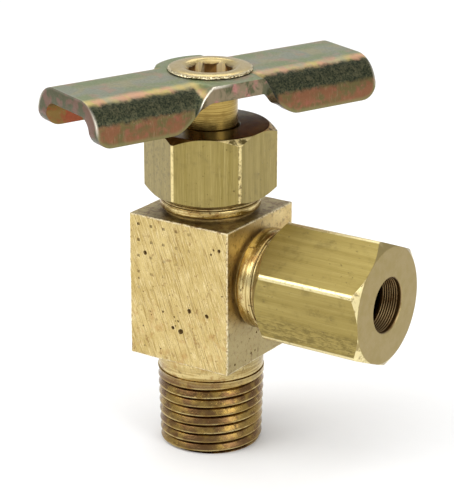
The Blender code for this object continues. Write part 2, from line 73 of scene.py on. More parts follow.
# The bores, from the inlet up to the packing chamber, and along the outlet.
INLET_RADIUS = 2.30
INLET_MOUTH_RADIUS = 2.55
INLET_TOP = 13.20
SEAT_RADIUS = 1.20
SEAT = (13.80, 15.50)
CAVITY = (15.90, 19.70)
STEM_BORE_RADIUS = 3.05
PACKING_FLOOR = 27.80
PACKING_CHAMBER_RADIUS = 3.75
PACKING_MOUTH = 29.75
OUTLET_BORE_RADIUS = 1.60
TUBE_SOCKET_RADIUS = 2.45
TUBE_SOCKET = (9.40, 12.75)
SLEEVE_CONE_END = (4.30, 14.60)

# The pipe thread.
PIPE_PITCH = INCH / 27
PIPE_TAPER = 1 / 32
PIPE_DEPTH = 0.62
PIPE_CREST_RADIUS = 5.22
PIPE_THREAD_TOP = 7.45
PIPE_NECK_RADIUS = 5.15
PIPE_END_CHAMFER = 0.25
PIPE_PHASE = 0.08

# The handle's folded sheet.
HANDLE_TOP = 37.40
HANDLE_SHEET = 1.50
HANDLE_HALF_LENGTH = 15.5
HANDLE_DIRECTION = radians(67.6)
HANDLE_FLAT_HALF = 2.45
HANDLE_BEND_RADIUS = 2.90
HANDLE_DROP = 4.00
HANDLE_PAD_FRONT = 5.60
HANDLE_PAD_REAR_RADIUS = 5.40
HANDLE_PAD_REAR_LEAST = 3.00
HANDLE_NOTCH_OFFSET = -0.56
HANDLE_FOLD = (2.70, 5.40)
HANDLE_NOTCH = (3.60, 7.00)
HANDLE_THINNING = 0.35
HANDLE_CORNER_RADIUS = 1.50

# The stem, from the needle's tip up to the swaged head.
NEEDLE_TIP = (0.45, 13.60)
NEEDLE_SHOULDER = (1.60, 17.30)
STEM_THREAD = (20.00, 25.10)
STEM_THREAD_RADIUS = 2.95
SEAL_GROOVE = (23.95, 24.85)
SEAL_GROOVE_RADIUS = 2.05
SHAFT_RADIUS = 2.60
SHAFT_TOP = 35.80
SPIGOT_RADIUS = 2.45
SOCKET_ACROSS_FLATS = 5 / 32 * INCH
SOCKET_FLOOR = 35.70
SOCKET_TURN = radians(33.6)

# The packing, between the stem and its chamber.
PACKING_RADII = (2.70, 3.65)

# The nuts.
HEX_FLATS = 7 / 16 * INCH
HEX_CORNER = HEX_FLATS / sqrt(3)
NUT_SMALL_FACE_RADIUS = 4.97
NUT_THREAD_DEPTH = 0.45
PACKING_NUT_TURN = radians(29.7)
PACKING_NUT_ROUNDING = 0.42
PACKING_NUT_ROOF = 1.50
COMPRESSION_NUT_TURN = radians(7.1)
COMPRESSION_NUT_ROUNDING = 0.60
COMPRESSION_NUT_THREAD_END = 13.90
COMPRESSION_NUT_LIP = 2.20
TUBE_HOLE_RADIUS = 2.60


# ---- Mesh making ----


def to_object(name, bm, place=Matrix()):
    """An object in metres, from a bmesh in millimetres and a placement in millimetres."""
    bmesh.ops.recalc_face_normals(bm, faces=bm.faces)
    bmesh.ops.transform(bm, matrix=Matrix.Scale(MM, 4) @ place, verts=bm.verts)
    mesh = bpy.data.meshes.new(name)
    bm.to_mesh(mesh)
    bm.free()
    item = bpy.data.objects.new(name, mesh)
    bpy.context.scene.collection.objects.link(item)
    return item


def settle(item):
    """Applies an object's modifiers to its mesh."""
    bpy.context.view_layer.update()
    graph = bpy.context.evaluated_depsgraph_get()
    mesh = bpy.data.meshes.new_from_object(item.evaluated_get(graph))
    item.modifiers.clear()
    old = item.data
    item.data = mesh
    mesh.name = item.name
    bpy.data.meshes.remove(old)
    return item


def combine(item, operation, *tools):
    """Joins, cuts or intersects a piece with closed tool solids, which are used up."""
    for tool in tools:
        step = item.modifiers.new(tool.name, "BOOLEAN")
        step.operation = operation
        step.solver = "MANIFOLD"
        step.object = tool
    settle(item)
    for tool in tools:
        bpy.data.objects.remove(tool, do_unlink=True)
    return item


def shade(item, angle=32):
    """Smooth shading with crisp edges, and flat faces that stay flat next to small roundings."""
    item.data.shade_smooth()
    item.data.set_sharp_from_angle(angle=radians(angle))
    step = item.modifiers.new("normals", "WEIGHTED_NORMAL")
    step.keep_sharp = True
    return settle(item)


def filleted(corners, steps=4):
    """Rounds an outline's (radius, height, rounding) corners, as short curves."""
    outline = []
    count = len(corners)
    for index, (radius, height, size) in enumerate(corners):
        here = Vector((radius, height))
        if size == 0:
            outline.append(here)
            continue
        before = Vector(corners[index - 1][:2]) - here
        after = Vector(corners[(index + 1) % count][:2]) - here
        start = here + before.normalized() * min(size, 0.45 * before.length)
        end = here + after.normalized() * min(size, 0.45 * after.length)
        for step in range(steps + 1):
            share = step / steps
            outline.append((1 - share) ** 2 * start + 2 * share * (1 - share) * here + share**2 * end)
    return outline


def turned(name, corners, place=Matrix(), segments=SEGMENTS):
    """A solid turned about Z from a closed outline of (radius, height, rounding) corners."""
    outline = filleted(corners)
    bm = bmesh.new()
    columns = []
    for index in range(segments):
        angle = 2 * pi * index / segments
        column = []
        for row, (radius, height) in enumerate(outline):
            if radius == 0 and columns:
                column.append(columns[0][row])
            else:
                column.append(bm.verts.new((radius * cos(angle), radius * sin(angle), height)))
        columns.append(column)
    rows = len(outline)
    for index in range(segments):
        here = columns[index]
        beside = columns[(index + 1) % segments]
        for row in range(rows):
            above = (row + 1) % rows
            face = dict.fromkeys((here[row], beside[row], beside[above], here[above]))
            if len(face) > 2:
                bm.faces.new(face)
    return to_object(name, bm, place)


def thread_depth(phase):
    """Depth of a worn V thread, 0 on the crest and 1 in the root, at a share of the pitch."""
    across = abs(phase % 1.0 - 0.5) * 2
    share = min(1.0, max(0.0, (across - 0.14) / 0.70))
    return 0.65 * share + 0.35 * share * share * (3 - 2 * share)


def worn_depth(phase):
    """Depth of the pipe thread: a convex upper flank, a narrow root and a steep lower flank."""
    above_crest = (phase - 0.5) % 1.0
    if above_crest < 0.58:
        return 0.42 * (above_crest / 0.58) ** 1.2
    if above_crest < 0.80:
        return 0.42 + 0.58 * (above_crest - 0.58) / 0.22
    return max(0.0, 1 - (above_crest - 0.80) / 0.15)


def threaded(name, radius_at, pitch, low, high, place=Matrix(), steps=12, segments=96):
    """A closed rod with a right-hand thread: radius_at gives its surface at a turn and height."""
    bm = bmesh.new()
    turns = ceil((high - low) / pitch) + 2
    columns = []
    for index in range(segments + 1):
        turn = index / segments
        column = []
        for row in range(turns * steps):
            height = low + pitch * (row / steps - 1 + turn)
            height = min(high, max(low, height))
            radius = radius_at(turn, height)
            angle = 2 * pi * turn
            column.append(bm.verts.new((radius * cos(angle), radius * sin(angle), height)))
        columns.append(column)
    for here, beside in zip(columns, columns[1:]):
        for row in range(len(here) - 1):
            bm.faces.new((here[row], beside[row], beside[row + 1], here[row + 1]))
    bmesh.ops.remove_doubles(bm, verts=bm.verts, dist=0.0005)
    rim = [edge for edge in bm.edges if edge.is_boundary]
    bmesh.ops.holes_fill(bm, edges=rim, sides=0)
    return to_object(name, bm, place)


def outlet_place():
    """Turns a solid made along Z to lie along the outlet."""
    return Matrix.Translation((0, 0, OUTLET_HEIGHT)) @ Matrix.Rotation(pi / 2, 4, "Y")


def mark(item, name, values):
    """Stores a number for each vertex, for the materials to read."""
    layer = item.data.attributes.new(name, "FLOAT", "POINT")
    layer.data.foreach_set("value", np.asarray(values, np.float32))


def points_of(item):
    """A piece's vertices in millimetres."""
    flat = np.empty(len(item.data.vertices) * 3, np.float32)
    item.data.vertices.foreach_get("co", flat)
    return flat.reshape(-1, 3) / MM


# ---- Valve body ----


def worn_radius(point):
    """Rounding of the block's edges: mostly crisp, with nicks and softer stretches."""
    broad = noise.noise(Vector(point) * 0.45)
    fine = noise.noise(Vector(point) * 2.6 + Vector((7, 3, 1)))
    return 0.15 + 0.06 * broad + 0.08 * fine


def block_lines(low, high):
    """Grid lines along one side of the block, close together where the edge is rounded."""
    margin = [0.0, 0.04, 0.08, 0.12, 0.17, 0.24]
    inner = low + margin[-1]
    outer = high - margin[-1]
    count = ceil((outer - inner) / 0.45)
    lines = [low + step for step in margin[:-1]]
    lines += [inner + (outer - inner) * step / count for step in range(count + 1)]
    lines += [high - step for step in reversed(margin[:-1])]
    return lines


def make_block():
    """The sawn block: a grid on each side, with rounded edges that are nicked here and there."""
    bm = bmesh.new()
    sides = [block_lines(BLOCK_LOW[axis], BLOCK_HIGH[axis]) for axis in range(3)]
    made = {}

    def corner(point):
        key = tuple(round(value, 5) for value in point)
        if key not in made:
            radius = worn_radius(point)
            core = Vector([
                min(BLOCK_HIGH[a] - radius, max(BLOCK_LOW[a] + radius, point[a])) for a in range(3)])
            made[key] = bm.verts.new(core + (Vector(point) - core).normalized() * radius)
        return made[key]

    for axis in range(3):
        first, second = [a for a in range(3) if a != axis]
        for level in (BLOCK_LOW[axis], BLOCK_HIGH[axis]):
            for a0, a1 in zip(sides[first], sides[first][1:]):
                for b0, b1 in zip(sides[second], sides[second][1:]):
                    face = []
                    for a, b in ((a0, b0), (a1, b0), (a1, b1), (a0, b1)):
                        point = [0.0, 0.0, 0.0]
                        point[axis], point[first], point[second] = level, a, b
                        face.append(corner(point))
                    bm.faces.new(face)
    return to_object("valve_body_fine", bm)


def pipe_radius(turn, height):
    crest = PIPE_CREST_RADIUS - PIPE_TAPER * (PIPE_THREAD_TOP - height)
    fade = min(1.0, max(0.0, (PIPE_THREAD_TOP + 0.25 - height) / PIPE_PITCH))
    depth = PIPE_DEPTH * worn_depth(height / PIPE_PITCH - turn - PIPE_PHASE) * fade
    chamfer = PIPE_CREST_RADIUS - PIPE_TAPER * PIPE_THREAD_TOP - PIPE_END_CHAMFER + height
    return min(crest - depth, chamfer)


def neck_radius(start, end):
    """The surface of a 3/8-24 neck thread, with its run-out at the bead and its end chamfer."""

    def radius_at(turn, height):
        fade = min(1.0, max(0.0, (height - start) / (0.6 * NECK_PITCH)))
        depth = NECK_THREAD_DEPTH * thread_depth(height / NECK_PITCH - turn)
        chamfer = NECK_THREAD_RADIUS - NECK_CHAMFER + (end - height)
        return min(NECK_THREAD_RADIUS - depth * fade, chamfer)

    return radius_at


def bead_corners(root, bead_end):
    """The plain stretch of a neck: a groove against the block, a rounded bead, and a groove."""
    low = root + 0.28
    high = bead_end - 0.05
    return [
        (0, root - OVERCUT, 0),
        (NECK_GROOVE_RADIUS, root - OVERCUT, 0),
        (NECK_GROOVE_RADIUS, low, 0.05),
        (NECK_BEAD_RADIUS, low + 0.06, 0.30),
        (NECK_BEAD_RADIUS, high - 0.06, 0.26),
        (NECK_GROOVE_RADIUS + 0.05, high, 0.05),
        (NECK_GROOVE_RADIUS + 0.05, high + 0.6, 0),
        (0, high + 0.6, 0),
    ]


def add_pit(bm, place, size):
    """A closed cutter for one pit, from half its width along each axis."""
    matrix = place @ Matrix.Diagonal((*size, 1))
    bmesh.ops.create_icosphere(bm, subdivisions=2, radius=1, matrix=matrix)


def add_front_pits(bm, rng):
    """The large pits of the block's front, listed as (x, z, radius), and small loose ones."""
    pits = [
        (3.35, 15.1, 0.23), (1.35, 15.2, 0.22), (0.35, 12.9, 0.26), (-0.55, 13.1, 0.19), (-3.7, 20.1, 0.21),
        (4.75, 21.9, 0.17), (4.15, 21.9, 0.12), (3.85, 21.4, 0.13), (0.05, 13.9, 0.13), (-1.7, 14.5, 0.12)]
    for _ in range(26):
        pits.append((rng.uniform(-4.9, 5.1), rng.uniform(10.1, 17.5), rng.uniform(0.04, 0.10)))
    for x, z, size in pits:
        place = Matrix.Translation((x, BLOCK_LOW[1], z)) @ Matrix.Rotation(rng.uniform(0, pi), 4, "Y")
        add_pit(bm, place, (size, 0.7 * size, size * rng.uniform(0.75, 1.3)))


def add_jaw_marks(bm, rng):
    """A grid of square vice jaw marks, which fade away from the block's upper left corner."""
    for column in range(5):
        for row in range(6):
            depth = 0.055 - 0.007 * (column + 1.2 * row)
            if depth > 0.008:
                skew = rng.uniform(-0.04, 0.04)
                x = -4.45 + 1.45 * column + skew
                z = 22.9 - 1.62 * row - skew
                place = Matrix.Translation((x, BLOCK_LOW[1], z))
                size = Matrix.Diagonal((0.30, 2 * depth, 0.26, 1))
                bmesh.ops.create_cube(bm, size=1, matrix=place @ size)


def add_side_pits(bm, rng):
    """Small pits on the outlet's side of the block, kept clear of the neck."""
    clear = NECK_BEAD_RADIUS + 0.3
    for _ in range(14):
        side = Vector((BLOCK_HIGH[0], rng.uniform(-5.2, 5.2), rng.uniform(9.9, 23.4)))
        if abs(side.y) < 5.1 and abs(side.z - OUTLET_HEIGHT) < 5.1:
            side.z = OUTLET_HEIGHT - clear - rng.uniform(0.2, 2.5)
        size = rng.uniform(0.05, 0.15)
        add_pit(bm, Matrix.Translation(side), (0.7 * size, size, size))


def pit_tools():
    """Closed cutters for the block's pits and jaw marks."""
    rng = random.Random(11)
    bm = bmesh.new()
    add_front_pits(bm, rng)
    add_jaw_marks(bm, rng)
    add_side_pits(bm, rng)
    return to_object("tool_pits", bm)


def body_bores():
    stem = turned("tool_main_bore", [
        (0, -OVERCUT, 0), (INLET_MOUTH_RADIUS, -OVERCUT, 0), (INLET_MOUTH_RADIUS, -0.02, 0),
        (INLET_RADIUS, 0.25, 0), (INLET_RADIUS, INLET_TOP, 0.2), (SEAT_RADIUS, SEAT[0], 0),
        (SEAT_RADIUS, SEAT[1], 0.05), (INLET_RADIUS, CAVITY[0], 0), (INLET_RADIUS, CAVITY[1], 0),
        (STEM_BORE_RADIUS, CAVITY[1], 0), (STEM_BORE_RADIUS, PACKING_FLOOR, 0),
        (PACKING_CHAMBER_RADIUS, PACKING_FLOOR, 0), (PACKING_CHAMBER_RADIUS, PACKING_MOUTH, 0.05),
        (PACKING_CHAMBER_RADIUS + 0.20, TOP_NECK[2] + OVERCUT, 0), (0, TOP_NECK[2] + OVERCUT, 0)])
    outlet = turned("tool_outlet_bore", [
        (0, 0, 0), (OUTLET_BORE_RADIUS, 0, 0), (OUTLET_BORE_RADIUS, TUBE_SOCKET[0], 0),
        (TUBE_SOCKET_RADIUS, TUBE_SOCKET[0], 0), (TUBE_SOCKET_RADIUS, TUBE_SOCKET[1], 0.05),
        (*SLEEVE_CONE_END, 0), (0, SLEEVE_CONE_END[1], 0)], outlet_place())
    return stem, outlet


def mark_body(body):
    """Where the body has painted shade, is pitted, is on a thread's crest, near the block's edges, or
    turned.
    """
    points = points_of(body)
    x, y, z = points.T
    from_stem = np.hypot(x, y)
    from_outlet = np.hypot(y, z - OUTLET_HEIGHT)
    crest = PIPE_CREST_RADIUS - PIPE_TAPER * (PIPE_THREAD_TOP - z)
    depth = (crest - from_stem) / PIPE_DEPTH
    root = np.where(z < PIPE_THREAD_TOP, (depth - 0.60) / 0.4, 0)
    above = z > BLOCK_HIGH[2] + 0.02
    beside = x > BLOCK_HIGH[0] + 0.02
    below = z < BLOCK_LOW[2] - 0.02
    top_groove = np.where(above, (NECK_BEAD_RADIUS - from_stem) / 0.5, 0)
    side_groove = np.where(beside, (NECK_BEAD_RADIUS - from_outlet) / 0.5, 0)
    between = (z > 9.8) & (z < 23.5)
    on_front = between & (np.abs(x) < 5.3) & (y < 0)
    on_side = between & (np.abs(y) < 5.3) & (x > 5.4) & (x < BLOCK_HIGH[0])
    pits = np.where(on_front, (y - BLOCK_LOW[1] - 0.004) / 0.11, 0)
    side_pits = np.where(on_side, (BLOCK_HIGH[0] - 0.004 - x) / 0.08, 0)
    # Painted shade: darkening in the pipe thread's roots, the grooves beside both beads and the pits.
    painted_shade = np.max([root, top_groove, side_groove, pits, side_pits], axis=0)
    mark(body, "painted_shade", np.clip(painted_shade, 0, 1))
    mark(body, "pit", np.clip(np.maximum(pits, side_pits), 0, 1))
    mark(body, "crest", np.clip(1 - depth, 0, 1))
    inside = np.minimum(points - np.array(BLOCK_LOW), np.array(BLOCK_HIGH) - points)
    nearest = np.sort(inside, axis=1)
    on_block = nearest[:, 0] > -0.01
    mark(body, "edge", np.where(on_block, np.clip(1 - nearest[:, 1] / 0.28, 0, 1), 0))
    mark(body, "lathe", above | beside | below)


def make_body():
    body = make_block()
    root, bead_end, end = TOP_NECK
    tools = [
        turned("tool_top_bead", bead_corners(root, bead_end)),
        threaded("tool_top_thread", neck_radius(bead_end, end), NECK_PITCH, bead_end - 0.25, end)]
    root, bead_end, end = OUTLET_NECK
    tools += [
        turned("tool_side_bead", bead_corners(root, bead_end), outlet_place()),
        threaded("tool_side_thread", neck_radius(bead_end, end), NECK_PITCH, bead_end - 0.25, end,
                 outlet_place()),
        threaded("tool_shank", pipe_radius, PIPE_PITCH, 0.0, PIPE_THREAD_TOP + 0.2, steps=20,
                 segments=SEGMENTS),
        turned("tool_neck", [
            (0, 6.6, 0), (4.2, 6.6, 0), (PIPE_NECK_RADIUS, PIPE_THREAD_TOP + 0.32, 0.12),
            (PIPE_NECK_RADIUS, BLOCK_LOW[2] + OVERCUT, 0), (0, BLOCK_LOW[2] + OVERCUT, 0)])]
    combine(body, "UNION", *tools)
    combine(body, "DIFFERENCE", *body_bores(), pit_tools())
    mark_body(body)
    return shade(body)


# ---- Stem and the sealing pieces ----


def hexagon(name, across_flats, low, high, turn, rounding=0.0, place=Matrix()):
    """A hexagonal bar along Z, with rounded corners, whose first corner is at the angle turn."""
    corner = across_flats / sqrt(3)
    outline = []
    for index in range(6):
        angle = turn + index * pi / 3
        tip = Vector((cos(angle), sin(angle))) * corner
        if rounding == 0:
            outline.append(tip)
            continue
        centre = Vector((cos(angle), sin(angle))) * (corner - rounding / cos(pi / 6))
        for step in range(7):
            swing = angle - pi / 6 + pi / 3 * step / 6
            outline.append(centre + Vector((cos(swing), sin(swing))) * rounding)
    bm = bmesh.new()
    lower = [bm.verts.new((point.x, point.y, low)) for point in outline]
    upper = [bm.verts.new((point.x, point.y, high)) for point in outline]
    count = len(outline)
    for index in range(count):
        beside = (index + 1) % count
        bm.faces.new((lower[index], lower[beside], upper[beside], upper[index]))
    bm.faces.new(lower[::-1])
    bm.faces.new(upper)
    return to_object(name, bm, place)


def fray_rim(stem):
    """Makes the swaged head's rim ragged, by small moves in and out."""
    for vert in stem.data.vertices:
        x, y, z = vert.co / MM
        if hypot(x, y) > 3.8 and 37.40 < z < 37.62:
            around = Vector((x, y, 0)).normalized() + Vector((0, 0, 0.4 * z))
            ragged = noise.noise(around * 15) + 0.6 * noise.noise(around * 37)
            grow = 0.985 + 0.030 * min(0.5, max(-1.0, ragged))
            vert.co.x *= grow
            vert.co.y *= grow


def mark_stem(stem):
    """Where the stem has painted shade, on its head, on the head's burred rim, and in its socket."""
    points = points_of(stem)
    radius = np.hypot(points[:, 0], points[:, 1])
    height = points[:, 2]
    deep = (height > SOCKET_FLOOR - 0.7) & (height < SOCKET_FLOOR + 0.5) & (radius < 2.2)
    under = (height > 37.3) & (height < 37.47) & (radius > 1.95)
    low = (height < 32.8) & (height > 31.5)
    # Painted shade in the socket's depth, under the head's rim, and in a band low on the shaft.
    mark(stem, "painted_shade", np.select([deep, under, low], [0.8, 0.9, 0.35], 0.0))
    mark(stem, "head", height > 37.2)
    mark(stem, "burr", (radius > 3.75) & (height < 37.70) & (height > 37.2))
    mark(stem, "socket", (radius < SPIGOT_RADIUS) & (height > 35.5) & (height < 37.72))


def make_stem():
    """The stem in one outline: needle, thread with the seal's groove, shaft, spigot, swaged head."""
    thread_start, thread_end = STEM_THREAD
    groove_start, groove_end = SEAL_GROOVE
    outline = [
        (0, NEEDLE_TIP[1], 0), (*NEEDLE_TIP, 0.05), (*NEEDLE_SHOULDER, 0.1),
        (NEEDLE_SHOULDER[0], thread_start, 0), (STEM_THREAD_RADIUS - 0.40, thread_start, 0.05),
        (STEM_THREAD_RADIUS, thread_start + 0.40, 0), (STEM_THREAD_RADIUS, groove_start, 0.05),
        (SEAL_GROOVE_RADIUS, groove_start, 0), (SEAL_GROOVE_RADIUS, groove_end, 0),
        (STEM_THREAD_RADIUS, groove_end, 0.05), (STEM_THREAD_RADIUS, thread_end, 0.05),
        (SHAFT_RADIUS, thread_end, 0), (SHAFT_RADIUS, SHAFT_TOP, 0.08), (SPIGOT_RADIUS, SHAFT_TOP, 0)]
    head = [
        (SPIGOT_RADIUS, 37.50, 0), (3.95, 37.43, 0.03), (4.11, 37.48, 0.06), (4.06, 37.60, 0.12),
        (3.50, 37.79, 0.35), (2.72, 37.80, 0.20), (2.45, 37.68, 0.10), (1.93, 37.34, 0), (0, 37.34, 0)]
    stem = turned("needle_stem_fine", outline + head)
    socket = hexagon("tool_socket", SOCKET_ACROSS_FLATS, SOCKET_FLOOR, 38.5, SOCKET_TURN, 0.10)
    combine(stem, "DIFFERENCE", socket)
    fray_rim(stem)
    mark_stem(stem)
    return shade(stem)


def ring(name, radii, heights, rounding, place=Matrix()):
    """A plain ring between two radii and two heights, with its four corners rounded."""
    inner, outer = radii
    low, high = heights
    return turned(name, [
        (inner, low, rounding), (outer, low, rounding), (outer, high, rounding), (inner, high, rounding)],
        place, 96)


def make_o_ring():
    low, high = SEAL_GROOVE
    return shade(ring("stem_o_ring_fine", (2.15, 3.00), (low + 0.1, high - 0.1), 0.4), 60)


def make_packing():
    inner, outer = PACKING_RADII
    washer = ring("packing_washer_fine", PACKING_RADII, (27.90, 28.40), 0.06)
    packing_ring = ring("packing_ring_fine", PACKING_RADII, (28.50, 29.40), 0.15)
    gland = turned("packing_gland_fine", [
        (inner, 29.50, 0.05), (outer, 29.50, 0.1), (outer, 30.10, 0), (4.30, 30.10, 0.06),
        (4.30, 30.50, 0.06), (inner, 30.50, 0.05)], segments=96)
    return shade(washer), shade(packing_ring), shade(gland)


def make_sleeve():
    """The sleeve, a barrel that tapers to both of its ends."""
    bore, end, belly = 2.42, 2.72, 3.20
    return shade(turned("compression_sleeve_fine", [
        (bore, 13.20, 0.04), (end, 13.20, 0.08), (belly, 13.97, 0.2), (belly, 16.18, 0.2),
        (end, 16.95, 0.08), (bore, 16.95, 0.06)], outlet_place()))


# ---- Nuts ----


def corner_shares(radius, rounding):
    """How near points of a rounded hexagon bar are to the middle of its corners: 0 to 1."""
    tip = HEX_CORNER - rounding * (1 / cos(pi / 6) - 1)
    end = HEX_CORNER - rounding * (1 / cos(pi / 6) - cos(pi / 6))
    return np.clip((radius - end) / (tip - end), 0, 1)


def nut_envelope(name, start, end, start_slope, place=Matrix()):
    """The turned outline of a nut's chamfers: small face at its start, wide one at its end."""
    wide = HEX_FLATS / 2
    low = start + (HEX_CORNER - NUT_SMALL_FACE_RADIUS) * start_slope
    high = end - (HEX_CORNER - wide) * 0.75
    return turned(name, [
        (0, start, 0), (NUT_SMALL_FACE_RADIUS, start, 0.06), (HEX_CORNER, low, 0),
        (HEX_CORNER + OVERCUT, low, 0), (HEX_CORNER + OVERCUT, high, 0), (HEX_CORNER, high, 0),
        (wide, end, 0.10), (0, end, 0)], place, 192)


def nut_thread(start, end):
    """The cutter's surface for a nut's internal thread, opened out at its mouth."""

    def radius_at(turn, height):
        fade = min(1.0, (end - height) / 0.3)
        depth = NUT_THREAD_DEPTH * thread_depth(height / NECK_PITCH - turn) * fade
        mouth = max(0.0, 0.35 - (height - start - OVERCUT))
        return NECK_THREAD_RADIUS + 0.10 - depth + mouth

    return radius_at


def make_packing_nut():
    low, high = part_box("packing_nut")
    start, end = low.z / MM, high.z / MM
    nut = hexagon("packing_nut_fine", HEX_FLATS, start - OVERCUT, end + OVERCUT, PACKING_NUT_TURN,
                  PACKING_NUT_ROUNDING)
    combine(nut, "INTERSECT", nut_envelope("tool_envelope", start, end, 0.57))
    mouth = start - OVERCUT
    roof = end - PACKING_NUT_ROOF
    chamber = threaded("tool_thread", nut_thread(mouth, roof), NECK_PITCH, mouth, roof)
    hole = turned("tool_hole", [
        (0, roof - 0.5, 0), (2.75, roof - 0.5, 0), (2.75, end - 0.12, 0.05), (3.00, end + 0.13, 0),
        (3.00, end + OVERCUT, 0), (0, end + OVERCUT, 0)])
    combine(nut, "DIFFERENCE", chamber, hole)
    points = points_of(nut)
    radius = np.hypot(points[:, 0], points[:, 1])
    height = points[:, 2]
    # Painted shade in the nut's bore and thread, below its top face.
    mark(nut, "painted_shade", np.clip((4.9 - radius) * 2, 0, 1) * (height < end - 0.2))
    mark(nut, "corner", corner_shares(radius, PACKING_NUT_ROUNDING))
    mark(nut, "face", (height > end - 0.02) & (radius < HEX_FLATS / 2 + 0.1))
    return shade(nut)


def make_compression_nut():
    low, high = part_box("compression_nut")
    start, end = low.x / MM, high.x / MM
    nut = hexagon("compression_nut_fine", HEX_FLATS, start - OVERCUT, end + OVERCUT,
                  COMPRESSION_NUT_TURN, COMPRESSION_NUT_ROUNDING, outlet_place())
    combine(nut, "INTERSECT", nut_envelope("tool_envelope", start, end, 0.90, outlet_place()))
    mouth = start - OVERCUT
    thread_end = COMPRESSION_NUT_THREAD_END
    lip = end - COMPRESSION_NUT_LIP
    chamber = threaded("tool_thread", nut_thread(mouth, thread_end), NECK_PITCH, mouth, thread_end,
                       outlet_place())
    hole = TUBE_HOLE_RADIUS
    bore = [(0, thread_end - 0.6, 0), (3.40, thread_end - 0.6, 0), (3.40, lip - 0.80, 0.05), (hole, lip, 0)]
    for index in range(7):
        ridge = lip + 0.2 + index * 0.24
        bore += [(hole, ridge, 0), (hole + 0.06, ridge + 0.06, 0), (hole, ridge + 0.12, 0)]
    bore += [
        (hole, end - 0.12, 0.05), (hole + 0.18, end + 0.06, 0), (hole + 0.18, end + OVERCUT, 0),
        (0, end + OVERCUT, 0)]
    combine(nut, "DIFFERENCE", chamber, turned("tool_bore", bore, outlet_place()))
    points = points_of(nut)
    along = points[:, 0]
    radius = np.hypot(points[:, 1], points[:, 2] - OUTLET_HEIGHT)
    inside = np.where(along > lip - 0.1, 0.85, 1.0) * (along < end - 0.04)
    # Painted shade in the nut's thread and bore, a little less in the bore past the lip.
    mark(nut, "painted_shade", np.clip((4.9 - radius) * 2, 0, 1) * inside)
    mark(nut, "corner", corner_shares(radius, COMPRESSION_NUT_ROUNDING))
    mark(nut, "face", along > end - 0.03)
    return shade(nut)


# ---- Handle ----


def ease(low, high, value):
    share = min(1.0, max(0.0, (value - low) / (high - low)))
    return share * share * (3 - 2 * share)


def handle_half_width(along, side):
    """Half the flat blank's width on a side: a straight front pad (-1), a round rear pad (1)."""
    rear_pad = sqrt(max(HANDLE_PAD_REAR_RADIUS**2 - along**2, HANDLE_PAD_REAR_LEAST**2))
    pad = rear_pad if side > 0 else HANDLE_PAD_FRONT
    full = HANDLE_FLAT_HALF + HANDLE_BEND_RADIUS * pi / 2 + HANDLE_DROP - HANDLE_BEND_RADIUS
    low, high = HANDLE_NOTCH
    share = min(1.0, max(0.0, (abs(along - HANDLE_NOTCH_OFFSET) - low) / (high - low)))
    width = pad + (full - pad) * sin(share * pi / 2)
    into_corner = abs(along) - (HANDLE_HALF_LENGTH - HANDLE_CORNER_RADIUS)
    if into_corner > 0:
        width -= HANDLE_CORNER_RADIUS - sqrt(max(0.0, HANDLE_CORNER_RADIUS**2 - into_corner**2))
    return width


def handle_fold(along):
    """How far the flanges are folded down there: 0 on the pad, a right angle on the wings."""
    return pi / 2 * ease(*HANDLE_FOLD, abs(along - HANDLE_NOTCH_OFFSET))


def sheet_share(along, across):
    """Share of the sheet's thickness left where it is stretched round the notches' corners."""
    low, high = HANDLE_FOLD[0], HANDLE_NOTCH[1]
    share = min(1.0, max(0.0, (abs(along - HANDLE_NOTCH_OFFSET) - low) / (high - low)))
    outer = ease(HANDLE_FLAT_HALF, HANDLE_FLAT_HALF + HANDLE_BEND_RADIUS, abs(across))
    return 1 - HANDLE_THINNING * sin(pi * share) * outer


def handle_point(along, across, depth):
    """A blank point folded into the channel: depth is measured into the sheet."""
    fold = handle_fold(along)
    beyond = abs(across) - HANDLE_FLAT_HALF
    angle = min(fold, max(0.0, beyond / HANDLE_BEND_RADIUS))
    straight = max(0.0, beyond - HANDLE_BEND_RADIUS * fold)
    flat = min(abs(across), HANDLE_FLAT_HALF)
    depth *= sheet_share(along, across)
    side = flat + HANDLE_BEND_RADIUS * sin(angle) + straight * cos(angle) - depth * sin(angle)
    drop = HANDLE_BEND_RADIUS * (1 - cos(angle)) + straight * sin(angle) + depth * cos(angle)
    return Vector((along, -side if across < 0 else side, HANDLE_TOP - drop))


def edge_burnish_highlight(along, share, bend):
    """Where the sheet's outer edge gets a painted highlight over real burnish: at the notch's corner, and
    at the ends.
    """
    from_notch = HANDLE_NOTCH_OFFSET - along
    corner = ease(0.2, 2.6, from_notch) * (1 - ease(3.9, 4.5, from_notch)) * ease(0.965, 0.99, abs(share))
    end = ease(HANDLE_HALF_LENGTH - 0.20, HANDLE_HALF_LENGTH - 0.05, abs(along))
    return max(corner, end * (0.12 + 0.48 * ease(0.5, 1.1, bend) * (1 - ease(1.35, 1.55, bend))))


def handle_stations():
    """Places along the handle, even but for the round corners, where they close up."""
    straight = HANDLE_HALF_LENGTH - HANDLE_CORNER_RADIUS
    count = 92
    places = [straight * (2 * step / count - 1) for step in range(count + 1)]
    for sign in (-1, 1):
        for step in range(1, 9):
            places.append(sign * (straight + HANDLE_CORNER_RADIUS * sin(pi / 2 * step / 8)))
    return sorted(places)


